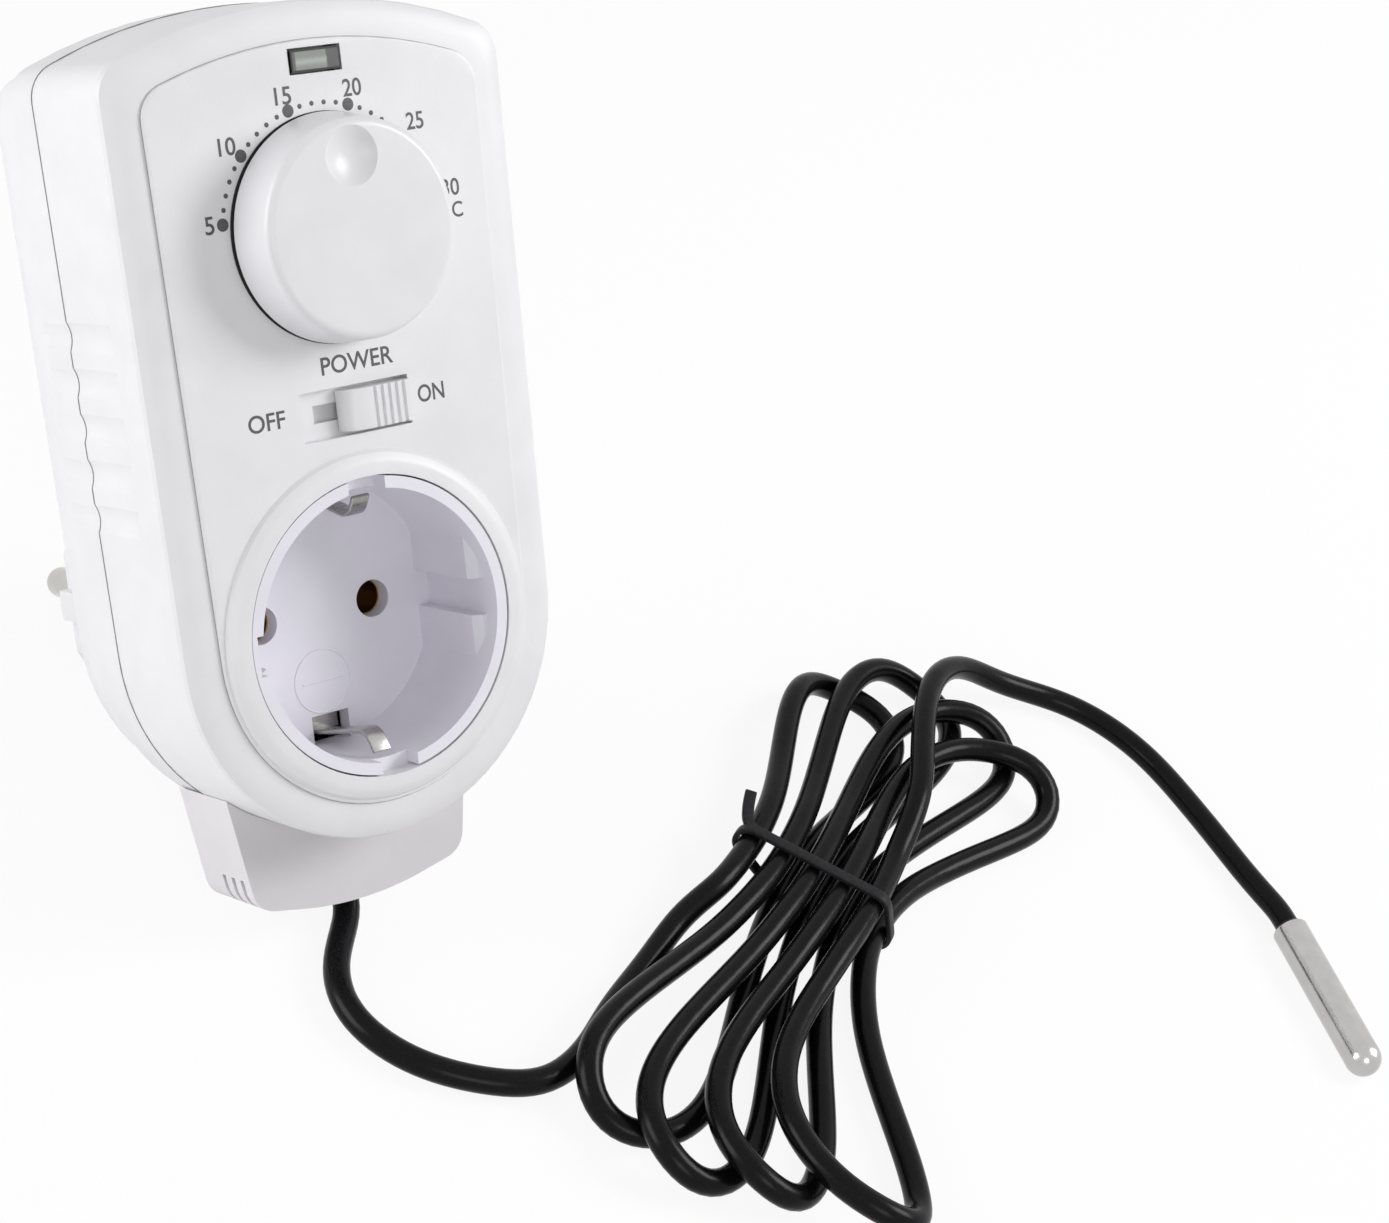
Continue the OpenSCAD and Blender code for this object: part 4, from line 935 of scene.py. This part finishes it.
@dataclass
class SocketWell:
    """The socket insert with its earth clips, sleeves and bars."""

    floor_y: float = 16.5
    strap_y: float = 19.4
    strap_w: float = 5.6
    strap_half_l: float = 17.8
    clip_w: float = 2.9
    clip_t: float = 0.62
    clip_edge: float = 0.2
    clip_step: float = 0.22
    low_clip_x: float = -1.1
    high_clip_x: float = 0.4
    clip_line: tuple[Pair, ...] = (
        (19.4, 17.5), (16.8, 17.4), (12.5, 16.75), (8.5, 16.1), (5.6, 15.6), (4.3, 15.55),
        (3.2, 16.1), (2.4, 17.0), (1.7, 18.2))
    badge_middle: Pair = (-0.5, -10.1)
    badge_r: float = 4.65
    badge_line: float = 0.26
    badge_h: float = 0.3
    badge_bar_share: float = 0.72

    def clip(self, side: int, x: float) -> Shape:
        """A flat spring along its line: out of the slot, in to the contact, out to a curled tip.

        Args:
            side: 1 for the upper clip and -1 for the lower one.
            x: place of its middle across the socket.

        Returns:
            The clip.
        """
        y, z = np.array(self.clip_line).T
        line = evenly(smooth_run(rows(x, y, z * side), 8), self.clip_step)
        return swept(line, rounded_bar(self.clip_w, self.clip_t, self.clip_edge), up=(0, 0.5, side))

    def strap(self) -> Shape:
        """The bar behind the floor that joins both clips."""
        line = rows(0, self.strap_y, np.linspace(-self.strap_half_l, self.strap_half_l, 40))
        return swept(line, rounded_bar(self.strap_w, self.clip_t, self.clip_edge), up=(0, 1, 0))

    def badge(self) -> Shape:
        """A plain embossed circle with a bar: a bead carried round a circle and along a line."""
        bead = rounded_bar(self.badge_line, self.badge_h, 0.1)
        x, z = self.badge_middle
        around = ring(self.badge_r, 96)
        half = self.badge_bar_share
        bar = x + np.linspace(-half, half, 24) * self.badge_r
        return (swept(rows(x + around[:, 0], self.floor_y, z + around[:, 1]), bead, (0, -1, 0),
                      closed=True)
                + swept(rows(bar, self.floor_y, z), bead, (0, -1, 0)))

    def build(self) -> None:
        """Builds the clips and the badge, and dresses the nodes of the socket."""
        softened("socket_insert", Slot.INSERT, INSERT)
        clips = self.clip(-1, self.low_clip_x) + self.clip(1, self.high_clip_x) + self.strap()
        keep(clips.leant().build("earth_clips"), SPRING, ["socket_earth_strap"])
        keep(self.badge().leant().build("floor_badge"), INSERT)
        dress(BRASS, "live_sleeve", "neutral_sleeve", "neutral_bar", "live_in_bar", "live_out_bar")


@dataclass(frozen=True)
class Word:
    """A word or number of the print: its middle on the plate, cap height and narrowing."""

    text: str
    x: float
    z: float
    height: float = 2.4
    narrow: float = 1.0


@dataclass
class Print:
    """Words or numbers printed on the front plate, as one piece."""

    name: str
    words: tuple[Word, ...]
    proud: float = 0.02
    swell: float = 0.012
    merge: float = 1e-7

    def word_mesh(self, word: Word) -> tuple[Array, list[list[int]]]:
        """The outline font's letters, scaled to the cap height and centred on their place.

        Args:
            word: the word.

        Returns:
            Points in the case's own frame, and faces.
        """
        curve = bpy.data.curves.new(word.text, "FONT")
        curve.body, curve.size, curve.extrude = word.text, 1.0, 0.5
        curve.resolution_u, curve.offset = 6, self.swell
        maker = placed(word.text, curve)
        bpy.context.view_layer.update()
        mesh = bpy.data.meshes.new_from_object(
            maker.evaluated_get(bpy.context.evaluated_depsgraph_get()))
        flat = np.empty(len(mesh.vertices) * 3)
        mesh.vertices.foreach_get("co", flat)
        flat = flat.reshape(-1, 3)
        faces = [list(p.vertices) for p in mesh.polygons]
        bpy.data.objects.remove(maker)
        bpy.data.curves.remove(curve)
        bpy.data.meshes.remove(mesh)
        low, high = flat.min(0), flat.max(0)
        scale = word.height / (high[1] - low[1])
        x = (flat[:, 0] - (low[0] + high[0]) / 2) * scale * word.narrow + word.x
        z = (flat[:, 1] - (low[1] + high[1]) / 2) * scale + word.z
        return rows(x, np.where(flat[:, 2] > 0, -self.proud, self.proud), z), faces

    def build(self) -> None:
        """Joins all the words into one piece on the plate."""
        points, faces, count = [], [], 0
        for word in self.words:
            place, outline = self.word_mesh(word)
            points.append(place)
            faces += [[i + count for i in face] for face in outline]
            count += len(place)
        mesh = bpy.data.meshes.new(self.name)
        mesh.from_pydata((LEAN.on_table(np.vstack(points)) * MM).tolist(), [], faces)
        work = bmesh.new()
        work.from_mesh(mesh)
        bmesh.ops.remove_doubles(work, verts=work.verts, dist=self.merge)
        bmesh.ops.recalc_face_normals(work, faces=work.faces)
        work.to_mesh(mesh)
        work.free()
        keep(placed(self.name, mesh), INK)


@dataclass
class Dial:
    """The knob with its scale of dots and numbers, its spindle and the part that it turns."""

    knob_z: float = 55.5
    scale_r: float = 16.8
    first_angle: float = 171.24
    degree_step: float = 6.561
    low: int = 5
    high: int = 30
    big_r: float = 0.88
    small_r: float = 0.34
    dot_h: float = 0.02
    sides: int = 40
    dot_rings: tuple[Pair, ...] = ((1, 0.02), (1, -0.6), (0.9, -1), (0.45, -1.05))
    # Outline of the ring of painted shade that sits just inside the knob's rim.
    gap_shade_line: tuple[Pair, ...] = (
        (15.68, -0.1), (15.68, 0.1), (15.6, 0.2), (13.5, 0.22), (13.4, 0.1), (13.4, -0.1))
    numbers: tuple[Word, ...] = (
        Word("5", -18.6, 58.2), Word("10", -14.5, 68.1), Word("15", -5.05, 73.72),
        Word("20", 5.9, 73.75, 2.4, 0.93), Word("25", 15.4, 68.2, 2.4, 0.92),
        Word("30", 20.05, 58.45, 2.4, 0.94), Word("C", 20.8, 55.3, 2.2, 0.92))

    def dots(self) -> Shape:
        """A flat disc for every degree of the scale, bigger at every fifth one.

        Dot T lies at angle first - step·(T - low) round the knob's axis. Each is a few rings of
        points: dot_rings gives each ring's share of the radius and of the height.

        Returns:
            All the dots as one shape, in the case's own frame.
        """
        marks = np.arange(self.low, self.high + 1)
        angle = np.radians(self.first_angle - self.degree_step * (marks - self.low))
        radius = np.where(marks % 5 == 0, self.big_r, self.small_r)[:, None, None]
        share, height = (np.array(self.dot_rings).T)[:, :, None]
        circle = ring(1, self.sides)
        x = (self.scale_r * np.cos(angle))[:, None, None] + radius * share * circle[:, 0]
        z = ((self.knob_z + self.scale_r * np.sin(angle))[:, None, None]
             + radius * share * circle[:, 1])
        n = len(self.dot_rings)
        quads, caps = grid_quads(n, self.sides), end_caps(n, self.sides)
        return reduce(Shape.__add__, (Shape(block.reshape(-1, 3), quads, caps).outward()
                                      for block in rows(x, height * self.dot_h, z)))

    def build(self) -> None:
        """Builds the scale and a ring of painted shade under the knob, and dresses the knob and
        what is behind it.
        """
        softened("knob", Slot.KNOB, KNOB, Body.DIAL)
        foot, ahead = LEAN.on_table(np.array([[0, 0, self.knob_z], [0, -1, self.knob_z]]))
        # A near-black ring under the knob's rim: painted shade for the gap between knob and plate.
        gap_shade_ring = turned(self.gap_shade_line, foot, ahead - foot, 96, hollow=True)
        keep(gap_shade_ring.build("knob_gap_shade_ring"), KNOB_GAP_SHADE)
        keep(self.dots().leant().build("scale_dots"), INK)
        Print("scale_numbers", self.numbers).build()
        dress(SCREW, "knob_spindle")
        dress(BLUE_BODY, "potentiometer")


@dataclass
class PowerSwitch:
    """The slide switch with its words, and the shutter that closes its slot from behind."""

    middle_z: float = 30.5
    shutter_y: float = 3.4
    shutter_t: float = 0.24
    shutter_w: float = 4.2
    shutter_from: float = -5.8
    shutter_to: float = 13.0
    words: tuple[Word, ...] = (
        Word("POWER", 1.5, 37.1, 2.5, 0.98), Word("OFF", -13.8, 31.1, 2.45),
        Word("ON", 12.9, 30.8, 2.45, 0.86))

    def build(self) -> None:
        """Shades the slider, prints the words and dresses the switch body."""
        softened("switch_slider", Slot.KNOB, SLIDER, Body.SLIDER)
        line = rows(np.linspace(self.shutter_from, self.shutter_to, 24), self.shutter_y,
                    self.middle_z)
        shutter = swept(line, rounded_bar(self.shutter_w, self.shutter_t, 0.08), up=(0, 1, 0))
        keep(shutter.leant().build("slot_shutter"), SLIDER, body=Body.SLIDER)
        Print("switch_words", self.words).build()
        dress(DARK_BODY, "switch_body")


@dataclass
class Indicator:
    """The lens, the lamp behind it and its spacer."""

    middle: Point = (0.6, 0.0, 78.0)
    half_l: float = 3.9
    half_w: float = 1.5

    def build(self) -> None:
        """Shades the lens and dresses the lamp."""
        lens = WindowLens("smoked_lens", self.middle, self.half_l, self.half_w)
        softened("indicator_lens", Slot.LENS, lens.material())
        dress(BULB, "indicator_lamp")
        dress(IVORY_BODY, "lamp_spacer")


@dataclass
class MainsPlug:
    """The pins and the earth strip of the plug on the back."""

    def build(self) -> None:
        """Gives pins, strip and post their metals."""
        softened("live_pin", Slot.PIN, PLATED)
        softened("neutral_pin", Slot.PIN, PLATED)
        softened("plug_earth_strap", Slot.SPRING, SPRING)
        dress(SPRING, "earth_post")


@dataclass
class Electronics:
    """The circuit board and what is soldered to it."""

    def build(self) -> None:
        """Gives every hidden part its own material."""
        dress(BOARD, "circuit_board")
        dress(BLUE_BODY, "relay")
        dress(YELLOW_BODY, "film_capacitor")
        dress(DARK_BODY, "smoothing_capacitor")
        dress(GREEN_BODY, "terminal_block")
        dress(SCREW, "board_screws")


class Bend(NamedTuple):
    """A loop's bend: its tip across the hank, what it lacks of the hank's length, what it adds
    to the bulge, and where past its tip the run changes layer, in degrees."""

    tip: float
    short: float
    bulge: float
    change: float


@dataclass
class Hank:
    """The wound part of the lead: one run whose loops fan out from the tie to both sides."""

    middle: Pair = (71.5, -69.5)
    turn: float = 31
    loops: int = 4
    from_s: float = -0.27
    to_s: float = 3.78
    steps: int = 480
    layer: float = 4.55
    waist_step: float = 5.3
    waist_side: float = 2.35
    lead_r: float = 2.0
    lay_gap: float = 0.2
    tie_lift: float = 1.0
    tied_half_l: float = 14.0
    tied_reach: float = 1.6
    far_l: float = 58.0
    near_l: float = 60.0
    far_bulge: float = 20.0
    near_bulge: float = 21.0
    far_share: float = 0.65
    near_share: float = 0.64
    far_bends: tuple[Bend, ...] = (
        Bend(-10.9, 8, 0.9, -22.6), Bend(-2.5, -1.6, 1.4, -10.8), Bend(10.8, 1.9, 0, 7.5),
        Bend(20.1, 7.4, 2.5, 14.3))
    near_bends: tuple[Bend, ...] = (
        Bend(-9.2, -0.3, 0, 13.1), Bend(2.4, -3.4, -1, -1.6), Bend(13.8, 0.9, -0.1, -8.4),
        Bend(28.8, 5.9, 6.1, -18))

    @staticmethod
    def ramp(t: Array) -> Array:
        """A smooth step: c²(3 - 2c) with c held between 0 and 1."""
        c = np.clip(t, 0, 1)
        return c * c * (3 - 2 * c)

    def over(self, x: Array | float, y: Array | float, z: Array | float) -> Array:
        """Points over the table that are given from the tie: across, along and up."""
        c, s = cosine_sine(self.turn)
        return rows(self.middle[0] + x * s + y * c, self.middle[1] - x * c + y * s, z)

    def path(self) -> Array:
        """The run's middle line.

        With a = 2πs and g = cos² a, the run is across·(1 - g) + tip·g + sin a·(side + bulge·g)
        across the hank and reach·cos a along it. Tip, reach and bulge are those of the loop that
        s is in. It lies in the upper layer on the left of a loop and changes layer round each
        tip.

        Returns:
            The points over the table.
        """
        s = np.linspace(self.from_s, self.to_s, self.steps + 1)
        a = 2 * np.pi * s
        g = np.cos(a) ** 2
        is_far = np.cos(a) > 0
        loop = np.clip(np.floor(np.where(is_far, s + 0.5, s)), 0, self.loops - 1).astype(int)
        bends = np.where(is_far[:, None], np.array(self.far_bends, float)[loop],
                         np.array(self.near_bends, float)[loop])
        tip, short, more, change = bends.T
        reach = np.where(is_far, self.far_l, self.near_l) - short
        bulge = np.where(is_far, self.far_bulge, self.near_bulge) + more
        share = np.where(is_far, self.far_share, self.near_share)
        x = (self.waist_step * (s - self.loops / 2 + 0.25) * (1 - g) + tip * g
             + np.sin(a) * (self.waist_side + bulge * g))
        y = reach * np.cos(a)
        upper = self.ramp(0.5 - np.sin(a - np.radians(change)) / share)
        tied = self.ramp(self.tied_reach - np.abs(y) / self.tied_half_l)
        return self.over(x, y, self.lead_r + self.lay_gap + upper * self.layer
                         + tied * self.tie_lift)


@dataclass
class SensorLead:
    """The lead from the housing through the hank to the probe, with its tie and its probe."""

    hank: Hank = field(default_factory=Hank)
    lead_r: float = 2.0
    exit_point: Point = (0, -41.4131, 4.52438)
    exit_dir: Point = (0, -0.587582, -0.809164)
    inside: float = 3.0
    run_in: float = 4
    run_steps: int = 12
    fine_step: float = 1.0
    cord_step: float = 1.4
    cord_sides: int = 20
    to_hank: tuple[Point, ...] = (
        (-0.1, -42.7, 3.3), (-0.5, -43.9, 2.7), (-1.4, -45.3, 2.4), (-4.3, -48.4, 2.3),
        (-7.8, -52.6, 2.2), (-10, -60, 2.2), (-7.8, -68.3, 2.2), (-2, -75.5, 2.2),
        (7.5, -81.5, 2.2), (13.5, -81.7, 2.2), (20, -79.3, 2.2), (27.7, -74.4, 2.2),
        (37.5, -69.6, 2.5), (47, -65, 5))
    over_hank: tuple[Point, ...] = (
        (6.5, 25, 11.2), (2.5, 37, 11.9), (-0.5, 48, 11.9), (-0.5, 57, 11), (2.9, 64.8, 7.9))
    to_probe: tuple[Point, ...] = (
        (134.2, -40.6, 4.9), (140.6, -43.6, 3.0), (146.7, -48, 2.3), (151, -55, 2.2),
        (153.3, -65, 2.2), (152.6, -80, 2.2), (150.9, -94, 2.4))
    spreads: tuple[float, ...] = (0.6, 1.0, 3.0, 3.0, 2.6, 2.6, 3.6, 3.6, 0.8)
    probe_base: Point = (148.9, -105.6, 3.0)
    probe_r: float = 3.0
    probe_l: float = 30.0
    lip: float = 0.8
    mouth: tuple[Pair, ...] = (
        (2.58, 1.2), (2.58, 0.12), (2.68, 0.0), (2.86, 0.0), (2.97, 0.12), (3.0, 0.3))
    waist: tuple[Pair, ...] = ((-12.95, 7.75), (8.25, 7.75), (10.3, 3.2), (-5.6, 3.2))
    strap_w: float = 1.9
    strap_t: float = 0.85
    strap_gap: float = 0.25
    strap_edge: float = 0.25
    strap_step: float = 0.5
    groove_half_w: float = 0.3
    groove_depth: float = 0.15
    stub: tuple[Point, ...] = (
        (-13.5, 0.4, 9.6), (-15.1, 2.0, 9.8), (-16.2, 4.4, 10.2), (-17.0, 7.2, 10.6))

    def probe_dir(self) -> Array:
        """Direction of the probe over the table."""
        return unit(np.array(PROBE_WAY))

    def start_run(self, first: Array, ahead: Array) -> Array:
        """From the grip in the housing over the table to the hank.

        Args:
            first: the hank's first point.
            ahead: the run's direction there.

        Returns:
            The points of this stretch.
        """
        out, way = np.array(self.exit_point), np.array(self.exit_dir)
        places = np.vstack([out, out + way * 0.5, self.to_hank, first - ahead * self.run_in])
        return np.vstack([out - way * (self.inside - 0.05), smooth_run(places, self.run_steps)])

    def end_run(self, last: Array, ahead: Array) -> Array:
        """From the hank over its far loops and over the table to the probe.

        Args:
            last: the hank's last point.
            ahead: the run's direction there.

        Returns:
            The points of this stretch.
        """
        base, way = np.array(self.probe_base), self.probe_dir()
        places = np.vstack([
            last + ahead * self.run_in, self.hank.over(*np.array(self.over_hank).T),
            self.to_probe, base - way * (self.run_in + self.lip)])
        return np.vstack([smooth_run(places, self.run_steps), base - way * (self.lip - 0.3)])

    def route(self) -> Array:
        """The lead's whole middle line, eased over its joints and resampled evenly."""
        middle = self.hank.path()
        start = self.start_run(middle[0], unit(middle[1] - middle[0]))
        end = self.end_run(middle[-1], unit(middle[-1] - middle[-2]))
        start, end = evenly(start, self.fine_step), evenly(end, self.fine_step)
        line = evenly(np.vstack([start, middle, end]), self.fine_step)
        n, into, out = len(line), len(start), len(line) - len(end)
        stations = [0, 4, 12, into - 15, into + 15, out - 8, out + 25, n - 12, n]
        spread = np.interp(np.arange(n), stations, self.spreads)
        return evenly(self.eased(line, spread), self.cord_step)

    @staticmethod
    def eased(line: Array, spread: Array, pad: int = 20) -> Array:
        """Takes small kinks out of a line whose points lie a millimetre apart.

        Each point becomes the mean of the points along the line, weighted by a bell curve of its
        own spread. The line is mirrored through its ends, so that they stay.

        Args:
            line: rows of points.
            spread: the bell curve's spread at each point, in millimetres.
            pad: number of mirrored points at each end.

        Returns:
            The eased line.
        """
        longer = np.vstack([2 * line[0] - line[pad:0:-1], line,
                            2 * line[-1] - line[-2:-pad - 2:-1]])
        away = np.arange(len(longer))[None, :] - np.arange(len(line))[:, None] - pad
        weights = np.exp(-away ** 2 / (2 * spread[:, None] ** 2))
        return weights @ longer / weights.sum(axis=1, keepdims=True)

    def strap_line(self) -> Array:
        """The strap's line round the waist: the outer edge of circles round the strands there.

        For every direction round the waist the strand that lies furthest out that way carries
        the line, at the lead's radius and half the strap's thickness from its middle.

        Returns:
            Evenly spaced points round the waist, the last next to the first.
        """
        strands, ways = np.array(self.waist), ring(1, 720)
        carried = (strands[np.argmax(strands @ ways.T, axis=0)]
                   + ways * (self.lead_r + self.strap_t / 2 + self.strap_gap))
        height = np.maximum(carried[:, 1], self.strap_t / 2 + 0.05)
        line = self.hank.over(carried[:, 0], 0.0, height)
        return evenly(np.vstack([line, line[:1]]), self.strap_step)[:-1]

    def strap(self) -> Shape:
        """The rubber strap round the waist with the stub of its end.

        The profile is a rounded bar with a groove along its outer face, carried round the line.

        Returns:
            The strap and its stub as one shape.
        """
        bar = rounded_bar(self.strap_w, self.strap_t, self.strap_edge, 5)
        across = self.hank.over(0, 1, 0) - self.hank.over(0, 0, 0)
        line = self.strap_line()
        out = np.cross(unit(np.roll(line, -1, 0) - np.roll(line, 1, 0)), across)
        in_groove = (bar[:, 1] > 0) & (np.abs(bar[:, 0]) < self.groove_half_w)
        groove = np.where(in_groove, -self.groove_depth, 0.0)
        points = (line[:, None, :] + bar[None, :, :1] * across
                  + (bar[None, :, 1:] + groove[None, :, None]) * out[:, None, :])
        band = Shape(points.reshape(-1, 3), grid_quads(len(line), len(bar), wrap_rows=True))
        return band.outward() + swept(smooth_run(self.hank.over(*np.array(self.stub).T), 6), bar)

    def probe(self) -> Shape:
        """The steel tube: a rolled mouth, a straight wall and a ball end, round its axis."""
        r, end = self.probe_r, self.probe_l - self.probe_r
        a = np.radians(np.linspace(0, 88, 16))
        wall = np.stack([np.full(12, r), np.linspace(0.9, end, 12)], axis=-1)
        ball = np.stack([r * np.cos(a), end + r * np.sin(a)], axis=-1)
        return turned(np.vstack([self.mouth, wall, ball]), np.array(self.probe_base),
                      self.probe_dir(), 72)

    def collar(self) -> Shape:
        """The dark plug between lead and tube: a small dome that swells out of the mouth."""
        a = np.radians(np.linspace(0, 80, 9))
        dome = np.stack([2.1 + 0.46 * np.cos(a), 0.1 - self.lip * np.sin(a)], axis=-1)
        profile = np.vstack([[[2.56, 4.8], [2.56, 0.6]], dome, [[1.9, -self.lip]]])
        return turned(profile, np.array(self.probe_base), self.probe_dir(), 48)

    def build(self) -> None:
        """Builds the cord first, then what is on it."""
        route = self.route()
        jacket = swept(route, ring(self.lead_r, self.cord_sides))
        cord = keep(jacket.build("sensor_cord", 60), JACKET,
                    ["lead_start", "lead_hank", "lead_end"])
        tie = keep(self.strap().build("waist_strap"), STRAP, ["hank_tie"])
        probe = keep(self.probe().build("probe_tube", 50), STEEL, ["probe_sleeve"])
        collar = keep(self.collar().build("probe_collar", 50), STRAP, ["probe_plug"])
        dress(RESIN, "sensor_bead")
        dress(DARK_BODY, "cord_grip")
        dress(JACKET, "sensor_wires")


class SoftBox(NamedTuple):
    """A square lamp: its direction from the part, distance and side in metres, and watts."""

    name: str
    way: Point
    distance: float
    size: float
    power: float


@dataclass
class Studio:
    """Camera, soft lights, white floor and surroundings."""

    camera_at: Point = (-217.945, -263.724, 329.039)
    right: Point = (0.77249, -0.5643, 0.29124)
    up: Point = (0.21093, 0.6606, 0.7205)
    view: Point = (0.59897, 0.49515, -0.62933)
    focal_px: float = 3019.6177
    image_w: int = 1389
    sensor: float = 36.0
    aim: Point = (40, -30, 45)
    floor_half: float = 2500
    lamps: tuple[SoftBox, ...] = (
        SoftBox("right_box", (0.9, -0.45, 0.8), 0.75, 0.34, 3.5),
        SoftBox("left_box", (-1.0, 0.42, 0.3), 1.0, 0.6, 5.8),
        SoftBox("front_box", (-0.5, -1.0, 0.7), 1.3, 0.5, 2.9))
    dome_strength: float = 0.56
    dome: tuple[tuple[float, Colour], ...] = (
        (0.0, (0.3, 0.3, 0.3)), (0.12, (0.1, 0.1, 0.1)), (0.3, (0.55, 0.55, 0.56)),
        (1.0, (0.78, 0.78, 0.79)))

    def camera(self) -> None:
        """A lens with the photograph's angle of view, turned as the three directions say."""
        data = bpy.data.cameras.new("photo_camera")
        data.sensor_fit, data.sensor_width = "HORIZONTAL", self.sensor
        data.lens = self.focal_px * self.sensor / self.image_w
        data.clip_start, data.clip_end = 0.01, 20
        holder = placed("photo_camera", data)
        turn = Matrix((self.right, self.up, tuple(-v for v in self.view))).transposed()
        holder.matrix_world = Matrix.Translation(Vector(self.camera_at) * MM) @ turn.to_4x4()
        bpy.context.scene.camera = holder

    def light(self, box: SoftBox) -> None:
        """Places a soft box, which looks at the part."""
        data = bpy.data.lights.new(box.name, "AREA")
        data.shape, data.size, data.energy = "SQUARE", box.size, box.power
        out = Vector(box.way).normalized()
        placed(box.name, data).matrix_world = (
            Matrix.Translation(Vector(self.aim) * MM + out * box.distance)
            @ out.to_track_quat("Z", "Y").to_matrix().to_4x4())

    def floor(self) -> None:
        """A wide sheet of paper on which the part lies."""
        side = np.linspace(-self.floor_half, self.floor_half, 9)
        x, y = np.meshgrid(side, side)
        sheet = Shape(rows(x, y, 0).reshape(-1, 3), grid_quads(9, 9, wrap_columns=False))
        paper = sheet.build("floor_paper")
        paper.data.materials.append(FloorPaper("floor_paper").material())

    def surroundings(self) -> None:
        """White where it is seen; for the light a pale dome that is darker near the horizon."""
        world = bpy.data.worlds.new("white_room")
        bpy.context.scene.world = world
        shader = Shader(world)
        axes = shader.node("SeparateXYZ", {"Vector": shader.coordinates("Generated")})
        ramp = shader.node("ValToRGB", {"Fac": axes.outputs["Z"]}, stops=self.dome)
        dome = shader.node("Background", {
            "Color": ramp.outputs["Color"], "Strength": self.dome_strength})
        white = shader.node("Background", {"Color": (1.0, 1.0, 1.0)})
        shader.close(shader.mix(shader.seen(), dome, white))

    def build(self) -> None:
        """Sets up camera, floor, surroundings and lamps."""
        self.camera()
        self.floor()
        self.surroundings()
        for box in self.lamps:
            self.light(box)
        bpy.context.scene.view_settings.view_transform = "Standard"


def main() -> None:
    """Builds the studio and the sub-assemblies in order."""
    logging.basicConfig(level=logging.INFO, format="%(message)s")
    Studio().build()
    for assembly in (SensorLead(), CaseShells(), SocketWell(), Dial(), PowerSwitch(),
                     Indicator(), MainsPlug(), Electronics()):
        LOG.info("%s", type(assembly).__name__)
        assembly.build()


if __name__ == "__main__":
    main()
